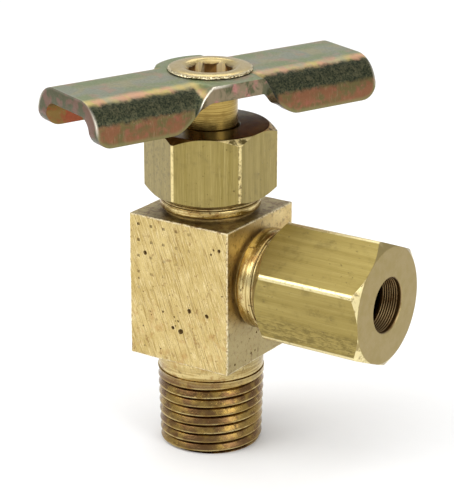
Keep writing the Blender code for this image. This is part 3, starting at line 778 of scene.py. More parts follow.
def handle_row(bm, layers, along, depth, columns):
    """One row of the sheet's vertices across it, with what the chromate needs to know of each."""
    row = []
    for column in range(columns + 1):
        share = 2 * column / columns - 1
        half_width = handle_half_width(along, share)
        across = share * half_width
        from_side = (1.0 - abs(share)) * half_width
        from_end = HANDLE_HALF_LENGTH - abs(along)
        beyond = max(0.0, abs(across) - HANDLE_FLAT_HALF)
        bend = min(handle_fold(along), beyond / HANDLE_BEND_RADIUS)
        vert = bm.verts.new(handle_point(along, across, depth))
        vert[layers["bend"]] = bend
        vert[layers["edge"]] = max(0.0, 1.0 - min(from_side, from_end) / 0.7)
        vert[layers["burnish_highlight"]] = edge_burnish_highlight(along, share, bend) if depth == 0 else 0.0
        vert[layers["inner"]] = 1.0 if depth > 0 else 0.0
        vert[layers["along"]] = along / HANDLE_HALF_LENGTH
        vert[layers["across"]] = abs(across)
        row.append(vert)
    return row


def bridge(bm, here, beside):
    """Faces between two rows of vertices."""
    for index in range(len(here) - 1):
        bm.faces.new((here[index], here[index + 1], beside[index + 1], beside[index]))


def make_handle():
    """One closed shell over an outer and an inner grid, with its sheared edges rounded."""
    bm = bmesh.new()
    names = ("bend", "edge", "burnish_highlight", "along", "across", "inner")
    layers = {name: bm.verts.layers.float.new(name) for name in names}
    outer, inner = [
        [handle_row(bm, layers, along, depth, 52) for along in handle_stations()]
        for depth in (0.0, HANDLE_SHEET)]
    for grid in (outer, inner):
        for here, beside in zip(grid, grid[1:]):
            bridge(bm, here, beside)
    for end in (0, -1):
        bridge(bm, outer[end], inner[end])
        bridge(bm, [row[end] for row in outer], [row[end] for row in inner])
    handle = to_object("handle_fine", bm, Matrix.Rotation(HANDLE_DIRECTION, 4, "Z"))
    edges = handle.modifiers.new("edges", "BEVEL")
    edges.width = 0.22 * MM
    edges.segments = 3
    edges.limit_method = "ANGLE"
    edges.angle_limit = radians(50)
    settle(handle)
    hole = SPIGOT_RADIUS + 0.05
    low, high = HANDLE_TOP - 2.5, HANDLE_TOP + OVERCUT
    combine(handle, "DIFFERENCE", turned("tool_hole", [
        (0, low, 0), (hole, low, 0), (hole, high, 0), (0, high, 0)], segments=96))
    return shade(handle, 45)


# ---- Materials ----


def socket_of(sockets, identifier):
    """One of a Mix node's sockets, whose names repeat from one data type to the next."""
    return next(socket for socket in sockets if socket.identifier == identifier)


class Recipe:
    """A Principled material whose colour, roughness and bump come from a few node formulas."""

    def __init__(self, name, metallic):
        self.material = bpy.data.materials.new(name)
        self.material.use_nodes = True
        self.tree = self.material.node_tree
        self.shader = self.tree.nodes["Principled BSDF"]
        self.shader.inputs["Metallic"].default_value = metallic
        scaled = self.add("ShaderNodeVectorMath", operation="SCALE")
        self.link(self.add("ShaderNodeTexCoord").outputs["Object"], scaled.inputs[0])
        scaled.inputs["Scale"].default_value = 1 / MM
        self.place = scaled.outputs[0]

    def add(self, kind, **settings):
        node = self.tree.nodes.new(kind)
        for key, value in settings.items():
            setattr(node, key, value)
        return node

    def link(self, source, socket):
        self.tree.links.new(source, socket)

    def feed(self, socket, value):
        if isinstance(value, (int, float)):
            socket.default_value = value
        elif isinstance(value, tuple):
            socket.default_value = (*value, 1.0) if len(socket.default_value) == 4 else value
        else:
            self.link(value, socket)

    def math(self, operation, *values):
        node = self.add("ShaderNodeMath", operation=operation)
        for socket, value in zip(node.inputs, values):
            self.feed(socket, value)
        return node.outputs[0]

    def times(self, *values):
        """The product of several values."""
        product = values[0]
        for value in values[1:]:
            product = self.math("MULTIPLY", product, value)
        return product

    def ramp(self, value, low, high, to_low=0.0, to_high=1.0):
        node = self.add("ShaderNodeMapRange", interpolation_type="SMOOTHSTEP")
        for name, part in (("Value", value), ("From Min", low), ("From Max", high),
                           ("To Min", to_low), ("To Max", to_high)):
            self.feed(node.inputs[name], part)
        return node.outputs["Result"]

    def mix(self, first, second, share):
        node = self.add("ShaderNodeMix", data_type="RGBA")
        self.feed(node.inputs["Factor"], share)
        self.feed(socket_of(node.inputs, "A_Color"), first)
        self.feed(socket_of(node.inputs, "B_Color"), second)
        return socket_of(node.outputs, "Result_Color")

    def patches(self, colour, tone, pattern, low, high, most=1.0):
        """Mixes a tone into a colour where a pattern is high."""
        return self.mix(colour, tone, self.ramp(pattern, low, high, 0, most))

    def mix_number(self, first, second, share):
        node = self.add("ShaderNodeMix", data_type="FLOAT")
        self.feed(node.inputs["Factor"], share)
        self.feed(socket_of(node.inputs, "A_Float"), first)
        self.feed(socket_of(node.inputs, "B_Float"), second)
        return socket_of(node.outputs, "Result_Float")

    def stretched(self, scale, turn=(0, 0, 0)):
        """Coordinates scaled after a turn, so that a pattern runs along a direction."""
        turned_place = self.add("ShaderNodeVectorRotate", rotation_type="EULER_XYZ")
        self.link(self.place, turned_place.inputs["Vector"])
        turned_place.inputs["Rotation"].default_value = turn
        node = self.add("ShaderNodeVectorMath", operation="MULTIPLY")
        self.link(turned_place.outputs[0], node.inputs[0])
        node.inputs[1].default_value = scale
        return node.outputs[0]

    def noise(self, scale, detail=3, roughness=0.55, place=None, distortion=0.0):
        node = self.add("ShaderNodeTexNoise")
        self.link(place or self.place, node.inputs["Vector"])
        node.inputs["Scale"].default_value = scale
        node.inputs["Detail"].default_value = detail
        node.inputs["Roughness"].default_value = roughness
        node.inputs["Distortion"].default_value = distortion
        return node.outputs["Fac"]

    def attribute(self, name):
        return self.add("ShaderNodeAttribute", attribute_name=name).outputs["Fac"]

    def axis(self, letter):
        node = self.add("ShaderNodeSeparateXYZ")
        self.link(self.place, node.inputs[0])
        return node.outputs[letter]

    def normal(self, letter):
        """A component of the surface's own direction, in the piece's axes."""
        node = self.add("ShaderNodeSeparateXYZ")
        self.link(self.add("ShaderNodeTexCoord").outputs["Normal"], node.inputs[0])
        return node.outputs[letter]

    def bump(self, *layers):
        """Stacks (height, depth in millimetres) layers into the shader's normal."""
        before = None
        for height, depth in layers:
            node = self.add("ShaderNodeBump")
            self.feed(node.inputs["Height"], height)
            node.inputs["Distance"].default_value = depth * MM
            if before:
                self.link(before, node.inputs["Normal"])
            before = node.outputs["Normal"]
        self.link(before, self.shader.inputs["Normal"])

    def finish(self, colour, roughness):
        self.feed(self.shader.inputs["Base Color"], colour)
        self.feed(self.shader.inputs["Roughness"], roughness)
        return self.material


# Brass, from painted highlights to stained, with painted shade for hollows.
# Painted highlights along the fine saw scratches.
SCRATCH_HIGHLIGHT = (0.95, 0.82, 0.50)
# Burrs on the block's edges, rubbed bright and painted as edge highlights too.
BURR_HIGHLIGHT = (0.93, 0.84, 0.58)
SAWN = ((0.68, 0.535, 0.23), (0.56, 0.42, 0.155))
SAW_SCRATCH = (0.34, 0.225, 0.07)
SAW_GRAIN = (0.38, 0.24, 0.08)
SAW_STAIN = (0.50, 0.29, 0.10)
MILLED = ((0.68, 0.53, 0.24), (0.50, 0.35, 0.125))
MILLED_DULL = (0.33, 0.27, 0.125)
MILLED_BLOTCH = (0.19, 0.12, 0.045)
MILLED_LINE = (0.33, 0.225, 0.08)
MILLED_STAIN = (0.16, 0.085, 0.028)
TURNED = ((0.66, 0.53, 0.245), (0.36, 0.25, 0.085))
TURNED_RUST = (0.30, 0.165, 0.052)
TURNED_SPECK = (0.14, 0.085, 0.03)
OXIDE = ((0.30, 0.192, 0.052), (0.145, 0.075, 0.031))
OXIDE_DARK = (0.09, 0.05, 0.02)
SPOT = (0.30, 0.165, 0.055)
NICK = (0.24, 0.135, 0.045)
# The next two colours are painted shade: in hollows and grooves, and deeper in the pits.
SHADE_BROWN = (0.085, 0.042, 0.014)
PIT_SHADE = (0.050, 0.021, 0.006)
BAR_NICK = (0.15, 0.10, 0.035)
# Painted shade inside the nuts.
BAR_SHADE = (0.13, 0.062, 0.022)
SMALL_PART = ((0.66, 0.52, 0.24), (0.52, 0.37, 0.13))
SHAFT = ((0.46, 0.33, 0.098), (0.22, 0.14, 0.036))
HEAD = (0.575, 0.457, 0.218)
CRUMBS = ((0.16, 0.11, 0.045), (0.95, 0.86, 0.58))
# Painted shade and painted highlights for the socket's walls: brown between the corners, near white at
# them.
SOCKET_SHADE_AND_HIGHLIGHT = ((0.42, 0.25, 0.085), (1.0, 0.90, 0.62))

# The bright shine tone of each bar paints highlights: on its corners, its fine streaks and its chamfers.
BarTones = namedtuple("BarTones", "pale deep dirt end shine")
# The packing nut's end tone is near black: painted shade and a painted reflection of the handle's
# underside, on its top face and on its chamfers away from the light.
PACKING_NUT_TONES = BarTones(
    pale=(0.355, 0.28, 0.098), deep=(0.265, 0.205, 0.060), dirt=(0.20, 0.155, 0.055),
    end=(0.060, 0.042, 0.015), shine=(0.80, 0.66, 0.32))
COMPRESSION_NUT_TONES = BarTones(
    pale=(0.38, 0.298, 0.098), deep=(0.295, 0.225, 0.066), dirt=(0.16, 0.12, 0.04),
    end=(0.36, 0.28, 0.125), shine=(0.90, 0.78, 0.42))


def sawn_face(r, tone, scratches, fine):
    """The front and back: slanting saw scratches with painted highlights along them, grain, and warm stains
    low down.
    """
    colour = r.mix(*SAWN, tone)
    colour = r.patches(colour, SAW_SCRATCH, scratches, 0.49, 0.64, 0.85)
    # Painted highlights along the fine saw scratches.
    colour = r.patches(colour, SCRATCH_HIGHLIGHT, fine, 0.51, 0.68, 0.9)
    colour = r.patches(colour, SAW_GRAIN, r.noise(8.0, 4, 0.75), 0.55, 0.70, 0.75)
    low_down = r.ramp(r.axis("Z"), 16.5, 14.0)
    stains = r.ramp(r.noise(0.9, 4, 0.65), 0.52, 0.66)
    return r.mix(colour, SAW_STAIN, r.times(stains, low_down, 0.5))


def milled_face(r, tone):
    """The other faces: smoother, dull on top and low down, blotched, and stained round the neck."""
    upward = r.ramp(r.normal("Z"), 0.6, 0.8)
    dull = r.math("MAXIMUM", upward, r.ramp(r.axis("Z"), 15.5, 13.0))
    colour = r.mix(*MILLED, tone)
    colour = r.mix(colour, MILLED_DULL, r.times(dull, 0.8))
    colour = r.patches(colour, MILLED_BLOTCH, r.noise(1.6, 6, 0.7), 0.51, 0.68, 0.8)
    lines = r.noise(5.0, 4, 0.7, r.stretched((1.0, 1.0, 0.05)))
    far_side = r.ramp(r.normal("X"), -0.75, -0.6, 1, 0)
    colour = r.mix(colour, MILLED_LINE, r.times(far_side, r.ramp(lines, 0.42, 0.62, 0.15, 0.75)))
    stains = r.ramp(r.noise(1.3, 5, 0.7), 0.46, 0.60, 0, 0.75)
    return r.mix(colour, MILLED_STAIN, r.times(upward, stains))


def turned_face(r):
    """The necks' plain rings and the shoulder: turning marks round each axis, and rust."""
    round_stem = r.noise(1.0, 3, 0.6, r.stretched((0.25, 0.25, 4.0)))
    round_outlet = r.noise(1.0, 3, 0.6, r.stretched((4.0, 0.25, 0.25)))
    on_outlet = r.ramp(r.axis("X"), BLOCK_HIGH[0] - 0.10, BLOCK_HIGH[0] - 0.05)
    bands = r.mix_number(round_stem, round_outlet, on_outlet)
    colour = r.mix(*TURNED, r.ramp(bands, 0.42, 0.60))
    colour = r.patches(colour, TURNED_RUST, r.noise(0.9, 5, 0.65), 0.50, 0.64, 0.75)
    return r.patches(colour, TURNED_SPECK, r.noise(2.6, 2), 0.64, 0.70, 0.8)


def oxidised(r, colour):
    """Adds the pipe thread's dark oxide, which is rubbed off its crests."""
    oxide = r.mix(*OXIDE, r.ramp(r.noise(0.55, 4, 0.6), 0.40, 0.58))
    oxide = r.patches(oxide, OXIDE_DARK, r.noise(1.6, 5, 0.7), 0.56, 0.68, 0.8)
    on_thread = r.ramp(r.axis("Z"), 7.0, 8.0, 1, 0)
    rubbed = r.ramp(r.attribute("crest"), 0.93, 0.99, 0.95, 0.3)
    return r.mix(colour, oxide, r.times(on_thread, rubbed))


def sawn_brass():
    """The body: sawn, milled and turned faces, specks, worn edges with painted highlights, oxide, and
    painted shade in its hollows and pits.
    """
    r = Recipe("body_brass", 1.0)
    slant = r.stretched((1.0, 1.0, 0.035), (0, radians(20), 0))
    scratches = r.noise(6.5, 4, 0.7, slant)
    fine = r.noise(19, 3, 0.65, slant)
    tone = r.ramp(r.noise(0.33, 3, 0.55), 0.3, 0.7)
    sawn = r.ramp(r.math("ABSOLUTE", r.normal("Y")), 0.6, 0.75)
    colour = r.mix(milled_face(r, tone), sawn_face(r, tone, scratches, fine), sawn)
    large_spots = r.ramp(r.noise(1.5, 3, 0.6), 0.60, 0.72, 0, 0.55)
    small_spots = r.ramp(r.noise(3.7, 3, 0.6), 0.62, 0.72, 0, 0.75)
    spots = r.math("MAXIMUM", large_spots, small_spots)
    colour = r.mix(colour, SPOT, spots)
    edge = r.attribute("edge")
    # Burrs along the block's edges, rubbed bright and painted as edge highlights too.
    burr = r.times(r.ramp(edge, 0.25, 0.75), r.ramp(r.noise(3.1, 4, 0.7), 0.35, 0.60))
    colour = r.mix(colour, BURR_HIGHLIGHT, r.times(burr, 0.8))
    nicks = r.times(r.ramp(edge, 0.10, 0.50), r.ramp(r.noise(2.3, 5, 0.75), 0.54, 0.60))
    colour = r.mix(colour, NICK, r.times(nicks, 0.8))
    lathe = r.attribute("lathe")
    colour = oxidised(r, r.mix(colour, turned_face(r), lathe))
    # Painted shade in the thread's roots, the bead grooves and the pits, made uneven by noise.
    painted_shade = r.times(r.attribute("painted_shade"), r.ramp(r.noise(1.2, 3), 0.25, 0.6, 0.55, 0.95))
    colour = r.mix(colour, SHADE_BROWN, painted_shade)
    # The pits are painted darker still, as painted shade in their hollows.
    colour = r.mix(colour, PIT_SHADE, r.times(r.attribute("pit"), 0.8))
    rough = r.math("ADD", r.ramp(sawn, 0, 1, 0.34, 0.46), r.ramp(fine, 0.3, 0.7, -0.06, 0.08))
    rough = r.mix_number(rough, r.ramp(tone, 0, 1, 0.16, 0.24), lathe)
    rough = r.math("ADD", rough, r.times(painted_shade, 0.22))
    furrows = r.times(r.math("SUBTRACT", 1.0, lathe), scratches)
    r.bump((furrows, 0.032), (fine, 0.010), (r.noise(9, 3), 0.006), (spots, -0.03), (burr, 0.03))
    return r.finish(colour, rough)


def bar_brass(name, along, tones, roughness):
    """Drawn hexagon bar: fine streaks along it, faint blotches, nicks and a turned end face, with painted
    highlights on its corners, streaks and chamfers, and painted shade on the packing nut's end.
    """
    r = Recipe(name, 1.0)
    upright = along == "Z"
    stretch = (1.0, 1.0, 0.02) if upright else (0.02, 1.0, 1.0)
    streaks = r.noise(1.6, 5, 0.65, r.stretched(stretch))
    fine = r.noise(17, 3, 0.6, r.stretched(stretch))
    colour = r.mix(tones.pale, tones.deep, r.ramp(streaks, 0.30, 0.70))
    colour = r.patches(colour, tones.dirt, r.noise(0.75, 5, 0.62), 0.50, 0.72, 0.45)
    colour = r.patches(colour, tones.dirt, fine, 0.50, 0.68, 0.35 if upright else 0.2)
    # Painted highlights along the fine streaks.
    colour = r.mix(colour, tones.shine, r.ramp(fine, 0.30, 0.44, 0.18 if upright else 0.08, 0))
    # Darker dashes on the upright nut's left faces, and towards the bottom of the lying nut.
    if upright:
        darker_side = r.ramp(r.normal("X"), -0.45, -0.30, 1, 0)
        dashes = r.ramp(r.noise(2.6, 4, 0.7), 0.50, 0.62, 0.12, 1)
        lit_side = r.ramp(r.normal("X"), 0.05, 0.25)
    else:
        darker_side = r.ramp(r.axis("Z"), OUTLET_HEIGHT - 1.9, OUTLET_HEIGHT - 1.3, 1, 0)
        dashes = r.ramp(r.noise(2.6, 6, 0.8, r.stretched((0.35, 1.6, 1.6))), 0.42, 0.60)
        lit_side = r.ramp(r.axis("Z"), OUTLET_HEIGHT + 3.0, OUTLET_HEIGHT + 4.2, 1, 0)
    colour = r.mix(colour, tones.dirt, r.times(darker_side, dashes, 0.8))
    corner = r.attribute("corner")
    # Painted highlights along the rounded corners, patchy by noise.
    worn = r.times(r.ramp(corner, 0.1, 0.9), r.ramp(r.noise(2.6, 4, 0.7), 0.3, 0.5, 0.45, 1))
    colour = r.mix(colour, tones.shine, worn)
    chamfer = r.math("ABSOLUTE", r.math("SUBTRACT", r.normal(along), 0.68))
    glint = r.times(lit_side, r.ramp(r.noise(0.9, 5, 0.7), 0.38, 0.50))
    # Chamfers away from the light keep the end tone, which on the packing nut is painted shade.
    glint = r.mix(tones.end, tones.shine, glint)
    colour = r.mix(colour, glint, r.ramp(chamfer, 0.18, 0.28, 0.8, 0))
    nicks = r.ramp(r.noise(3.3, 3, 0.6), 0.66, 0.73)
    if upright:
        right_corner = r.times(r.ramp(corner, 0.0, 0.4), r.ramp(r.normal("X"), 0.4, 0.6))
        battered = r.times(right_corner, r.ramp(r.noise(3.0, 4, 0.7), 0.50, 0.58))
        nicks = r.math("MAXIMUM", nicks, battered)
    colour = r.mix(colour, BAR_NICK, r.times(nicks, 0.7))
    # The end face takes the end tone: the compression nut's own colour, and on the packing nut painted
    # shade and a painted reflection of the handle's underside.
    face = r.attribute("face")
    cloudy = r.noise(1.0, 4, 0.6)
    colour = r.mix(colour, r.patches(tones.end, tones.deep, cloudy, 0.35, 0.7, 0.5), face)
    # Painted shade in the nut's thread and bore.
    painted_shade = r.attribute("painted_shade")
    colour = r.mix(colour, BAR_SHADE, painted_shade)
    rough = r.ramp(fine, 0.3, 0.7, roughness - 0.04, roughness + 0.06)
    rough = r.mix_number(rough, 0.26 if upright else 0.46, face)
    rough = r.math("ADD", rough, r.times(painted_shade, 0.1))
    r.bump((streaks, 0.006), (fine, 0.004), (cloudy, 0.006), (nicks, -0.03))
    return r.finish(colour, rough)


def lathe_rings(r, pale, deep, roughness):
    """Fine rings round a turned piece, with blotches: their pattern, colour and roughness."""
    rings = r.noise(1.0, 4, 0.75, r.stretched((0.08, 0.08, 9)))
    colour = r.mix(pale, deep, r.ramp(rings, 0.35, 0.65))
    colour = r.patches(colour, deep, r.noise(1.1, 4, 0.6), 0.45, 0.70, 0.6)
    return rings, colour, r.ramp(rings, 0.3, 0.7, roughness - 0.06, roughness + 0.08)


def turned_brass(name, roughness):
    """The small turned pieces inside the valve."""
    r = Recipe(name, 1.0)
    rings, colour, rough = lathe_rings(r, *SMALL_PART, roughness)
    r.bump((rings, 0.010), (r.noise(2.4, 4, 0.6), 0.008))
    return r.finish(colour, rough)


def stem_brass():
    """The stem: a ringed shaft, a paler pressed head, a crumbled rim, and a socket with painted highlights
    at its corners and painted shade between.
    """
    r = Recipe("stem_brass", 1.0)
    rings, colour, rough = lathe_rings(r, *SHAFT, 0.22)
    crown = r.attribute("head")
    crazed = r.patches(HEAD, SHAFT[0], r.noise(1.6, 4, 0.65), 0.35, 0.7, 0.60)
    colour = r.mix(colour, crazed, crown)
    rough = r.mix_number(rough, 0.26, crown)
    crumbs = r.noise(5.0, 3, 0.7)
    rim = r.attribute("burr")
    colour = r.mix(colour, r.mix(*CRUMBS, r.ramp(crumbs, 0.42, 0.56)), r.times(rim, 0.8))
    # Inside the socket: painted shade between the hexagon's corners and painted highlights at them.
    walls = r.ramp(r.math("ABSOLUTE", r.normal("Z")), 0.25, 0.45, 1, 0)
    inside = r.times(r.attribute("socket"), walls)
    turn = r.math("ARCTAN2", r.axis("Y"), r.axis("X"))
    sixth = r.math("FRACT", r.times(r.math("SUBTRACT", turn, SOCKET_TURN), 3 / pi))
    by_corner = r.math("ABSOLUTE", r.math("SUBTRACT", sixth, 0.5))
    colour = r.mix(colour, r.mix(*SOCKET_SHADE_AND_HIGHLIGHT, r.ramp(by_corner, 0.24, 0.32)), inside)
    rough = r.mix_number(rough, 0.55, inside)
    # Painted shade in the socket, under the head and in a band low on the shaft, made uneven by noise.
    uneven = r.ramp(r.noise(1.7, 4, 0.6), 0.3, 0.6, 0.5, 1)
    colour = r.mix(colour, SHADE_BROWN, r.times(r.attribute("painted_shade"), uneven))
    r.bump((rings, 0.010), (r.noise(2.4, 4, 0.6), 0.008), (r.times(rim, crumbs), 0.08))
    return r.finish(colour, rough)


# Yellow chromate, from the flat top to the flanges, the inside and the sheared edges.
CHROMATE_GREY = (0.235, 0.25, 0.18)
CHROMATE_STRAW = (0.30, 0.275, 0.15)
CHROMATE_COPPER = (0.38, 0.22, 0.155)
CHROMATE_GREEN = (0.18, 0.23, 0.095)
CHROMATE_PINK = (0.36, 0.235, 0.16)
CHROMATE_SHADE = (0.165, 0.175, 0.115)
CHROMATE_PALE = (0.40, 0.385, 0.28)
CHROMATE_WARM = ((0.44, 0.33, 0.11), (0.47, 0.24, 0.14))
CHROMATE_DARK = ((0.017, 0.022, 0.012), (0.078, 0.080, 0.042))
CHROMATE_DARK_PATCH = (0.125, 0.115, 0.062)
CHROMATE_FLANGE = ((0.222, 0.098, 0.048), (0.138, 0.110, 0.043))
CHROMATE_FLANGE_RED = (0.31, 0.105, 0.070)
CHROMATE_DRAWN = (0.36, 0.23, 0.13)
CHROMATE_OLIVE = (0.21, 0.20, 0.085)
CHROMATE_UNDER = ((0.31, 0.088, 0.042), (0.24, 0.155, 0.05))
CHROMATE_CUT = ((0.235, 0.185, 0.115), (0.42, 0.19, 0.165))
CHROMATE_CUT_DARK = (0.075, 0.088, 0.042)
CHROMATE_END = ((0.080, 0.080, 0.036), (0.165, 0.092, 0.062))
# Painted highlight on the burnished edges.
CHROMATE_BURNISH_HIGHLIGHT = (0.80, 0.75, 0.62)
CHROMATE_SCUFF = (0.50, 0.50, 0.42)


def chromate_flat(r, fold, wobble):
    """The flat top: grey and straw, green towards the bends, with pink and cloudy patches."""
    iris = r.noise(0.30, 2, 0.5, distortion=0.8)
    patch = r.noise(0.5, 3, 0.55, distortion=0.4)
    across = r.math("ADD", r.attribute("across"), r.times(wobble, 1.6))
    colour = r.mix(CHROMATE_GREY, CHROMATE_STRAW, r.ramp(iris, 0.42, 0.60))
    colour = r.patches(colour, CHROMATE_COPPER, patch, 0.58, 0.72, 0.6)
    green = r.times(r.ramp(across, 0.5, 1.7), r.ramp(iris, 0.36, 0.58, 0.15, 0.9))
    colour = r.mix(colour, CHROMATE_GREEN, green)
    pink = r.times(r.ramp(patch, 0.50, 0.66), r.ramp(across, 0.2, 1.0), 0.6)
    colour = r.mix(colour, CHROMATE_PINK, pink)
    cloudy = r.noise(3.2, 5, 0.75)
    colour = r.patches(colour, CHROMATE_SHADE, cloudy, 0.50, 0.70, 0.6)
    colour = r.mix(colour, CHROMATE_PALE, r.ramp(cloudy, 0.30, 0.46, 0.45, 0))
    warm = r.mix(*CHROMATE_WARM, r.ramp(patch, 0.42, 0.58))
    by_bend = r.times(r.ramp(fold, 0.0, 0.30), r.ramp(iris, 0.3, 0.5, 0.2, 0.8))
    return r.mix(colour, warm, by_bend)


def chromate_cut(r):
    """The sheared edges: pink, grey and dark, and olive at the handle's two ends."""
    colour = r.mix(*CHROMATE_CUT, r.ramp(r.noise(0.75, 4, 0.6), 0.48, 0.68))
    dark = r.noise(0.7, 5, 0.7, distortion=0.5)
    colour = r.patches(colour, CHROMATE_CUT_DARK, dark, 0.48, 0.62, 0.85)
    end = r.mix(*CHROMATE_END, r.ramp(r.noise(0.8, 4, 0.6), 0.46, 0.58))
    return r.patches(colour, end, r.math("ABSOLUTE", r.attribute("along")), 0.93, 0.97)


def chromate():
    """Yellow chromate over zinc: grey-green flats, dark mottled bends, copper flanges, and painted
    highlights on burnished edges.
    """
    r = Recipe("yellow_zinc_steel", 0.9)
    bend = r.attribute("bend")
    inner = r.attribute("inner")
    edge = r.attribute("edge")
    mottle = r.noise(5.0, 5, 0.75)
    wobble = r.times(r.math("SUBTRACT", r.noise(1.1, 5, 0.7), 0.5), 0.45)
    fold = r.math("ADD", bend, wobble)
    dark = r.mix(*CHROMATE_DARK, r.ramp(mottle, 0.40, 0.64))
    dark = r.patches(dark, CHROMATE_DARK_PATCH, r.noise(1.3, 5, 0.75), 0.50, 0.68, 0.6)
    flange = r.mix(*CHROMATE_FLANGE, r.ramp(r.noise(0.55, 4, 0.6), 0.45, 0.62))
    flange = r.patches(flange, CHROMATE_FLANGE_RED, r.noise(1.3, 3), 0.52, 0.70, 0.6)
    drawn = r.noise(7, 3, 0.6, r.stretched((1, 1, 0.12)))
    flange = r.patches(flange, CHROMATE_DRAWN, drawn, 0.52, 0.75, 0.4)
    colour = r.patches(chromate_flat(r, fold, wobble), dark, fold, 0.36, 0.58)
    colour = r.patches(colour, flange, fold, 1.14, 1.34)
    olive = r.times(r.ramp(edge, 0.25, 0.85), r.ramp(bend, 1.2, 1.5), 0.75)
    colour = r.mix(colour, CHROMATE_OLIVE, olive)
    under = r.mix(*CHROMATE_UNDER, r.ramp(r.noise(0.8, 4, 0.6), 0.42, 0.58))
    colour = r.mix(colour, under, inner)
    colour = r.patches(colour, chromate_cut(r), edge, 0.97, 0.995)
    # Painted highlights on the outer edges at the notch's corner and at the ends, over their burnish.
    shine = r.times(r.attribute("burnish_highlight"), r.ramp(inner, 0.02, 0.20, 1, 0))
    colour = r.mix(colour, CHROMATE_BURNISH_HIGHLIGHT, shine)
    colour = r.patches(colour, CHROMATE_SCUFF, r.noise(6, 4, 0.75), 0.64, 0.74, 0.45)
    rough = r.mix_number(r.ramp(mottle, 0.3, 0.7, 0.30, 0.46), 0.20, shine)
    r.bump((mottle, 0.014), (r.noise(11, 3), 0.004))
    return r.finish(colour, rough)


def rubber():
    r = Recipe("seal_rubber", 0.0)
    grain = r.noise(9, 3)
    r.bump((grain, 0.004))
    colour = r.mix((0.012, 0.012, 0.013), (0.03, 0.03, 0.03), grain)
    return r.finish(colour, r.ramp(grain, 0.3, 0.7, 0.5, 0.65))


def packing():
    """White fluoropolymer, slightly yellowed in places."""
    r = Recipe("packing", 0.0)
    grain = r.noise(5, 4)
    r.bump((grain, 0.006))
    colour = r.patches((0.80, 0.80, 0.76), (0.66, 0.65, 0.58), grain, 0.4, 0.7)
    return r.finish(colour, r.ramp(grain, 0.3, 0.7, 0.45, 0.6))


def floor_paper():
    r = Recipe("floor_paper", 0.0)
    grain = r.noise(0.6, 3)
    r.shader.inputs["Specular IOR Level"].default_value = 0.1
    return r.finish(r.mix((0.93, 0.93, 0.93), (0.91, 0.91, 0.91), grain), 0.9)


# ---- Stage ----

CAMERA_AZIMUTH = 33.59
CAMERA_ELEVATION = 19.87
CAMERA_DISTANCE = 0.2025
CAMERA_LENS = 150.72
CAMERA_SENSOR = 36
CAMERA_RIGHT = 1.566 * MM
CAMERA_UP = 1.406 * MM
FLOOR_HALF_SIZE = 1500
WORLD_STRENGTH = 0.70
LIGHT_AIM = Vector((0, 0, 18 * MM))

# Name, azimuth, elevation, distance in metres, size in metres and power in watts.
LIGHTS = (
    ("key", -34, 42, 0.35, (0.24, 0.24), 0.48),
    ("side", 77, 30, 0.35, (0.16, 0.22), 0.32),
    ("back", 208, 48, 0.35, (0.20, 0.12), 0.14),
    ("top", 20, 80, 0.40, (0.40, 0.40), 0.60))


def direction(azimuth, elevation):
    """A direction seen from the object, in degrees: azimuth 0 is -Y, and 90 is +X."""
    a, e = radians(azimuth), radians(elevation)
    return Vector((sin(a) * cos(e), -cos(a) * cos(e), sin(e)))


def make_camera():
    back = direction(CAMERA_AZIMUTH, CAMERA_ELEVATION)
    right = direction(CAMERA_AZIMUTH + 90, 0)
    up = back.cross(right)
    target = right * CAMERA_RIGHT + up * CAMERA_UP + Vector((0, 0, OUTLET_HEIGHT * MM))
    data = bpy.data.cameras.new("camera")
    data.lens = CAMERA_LENS
    data.sensor_width = CAMERA_SENSOR
    data.clip_start = 0.01
    data.clip_end = 20
    camera = bpy.data.objects.new("camera", data)
    bpy.context.scene.collection.objects.link(camera)
    camera.location = target + back * CAMERA_DISTANCE
    camera.rotation_mode = "QUATERNION"
    camera.rotation_quaternion = Matrix((right, up, back)).transposed().to_quaternion()
    bpy.context.scene.camera = camera


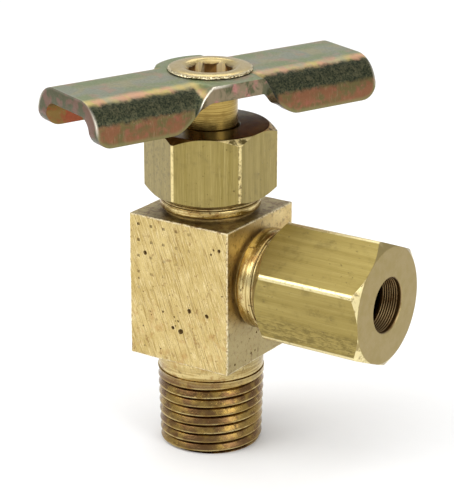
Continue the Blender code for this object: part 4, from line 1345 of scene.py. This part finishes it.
def make_light(name, azimuth, elevation, distance, size, power):
    data = bpy.data.lights.new(name, "AREA")
    data.shape = "RECTANGLE"
    data.size, data.size_y = size
    data.energy = power
    lamp = bpy.data.objects.new(name, data)
    bpy.context.scene.collection.objects.link(lamp)
    way = direction(azimuth, elevation)
    lamp.location = LIGHT_AIM + way * distance
    lamp.rotation_mode = "QUATERNION"
    lamp.rotation_quaternion = way.to_track_quat("Z", "Y")


def make_stage():
    bm = bmesh.new()
    bmesh.ops.create_grid(bm, x_segments=8, y_segments=8, size=FLOOR_HALF_SIZE)
    floor = to_object("floor", bm)
    floor.data.materials.append(floor_paper())
    world = bpy.data.worlds.new("studio")
    bpy.context.scene.world = world
    world.use_nodes = True
    background = world.node_tree.nodes["Background"]
    background.inputs["Color"].default_value = (1, 1, 1, 1)
    background.inputs["Strength"].default_value = WORLD_STRENGTH
    for light in LIGHTS:
        make_light(*light)
    bpy.context.scene.view_settings.view_transform = "Standard"


# ---- Assembly ----


def dress(piece, node, body, material):
    """Puts a piece in a CAD node's place, on its body and in its material."""
    piece.data.materials.clear()
    piece.data.materials.append(material)
    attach(piece, body)
    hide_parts(node)


def main():
    make_camera()
    washer, packing_ring, gland = make_packing()
    dress(make_body(), "valve_body", "valve_body", sawn_brass())
    dress(make_stem(), "needle_stem", "stem", stem_brass())
    dress(make_o_ring(), "stem_o_ring", "stem_seal", rubber())
    dress(washer, "packing_washer", "valve_body", turned_brass("washer_brass", 0.34))
    dress(packing_ring, "packing_ring", "valve_body", packing())
    dress(gland, "packing_gland", "gland", turned_brass("gland_brass", 0.30))
    dress(make_packing_nut(), "packing_nut", "packing_nut",
          bar_brass("packing_nut_brass", "Z", PACKING_NUT_TONES, 0.34))
    dress(make_handle(), "handle", "stem", chromate())
    dress(make_compression_nut(), "compression_nut", "compression_nut",
          bar_brass("compression_nut_brass", "X", COMPRESSION_NUT_TONES, 0.32))
    dress(make_sleeve(), "compression_sleeve", "sleeve",
          turned_brass("sleeve_brass", 0.25))
    make_stage()


main()
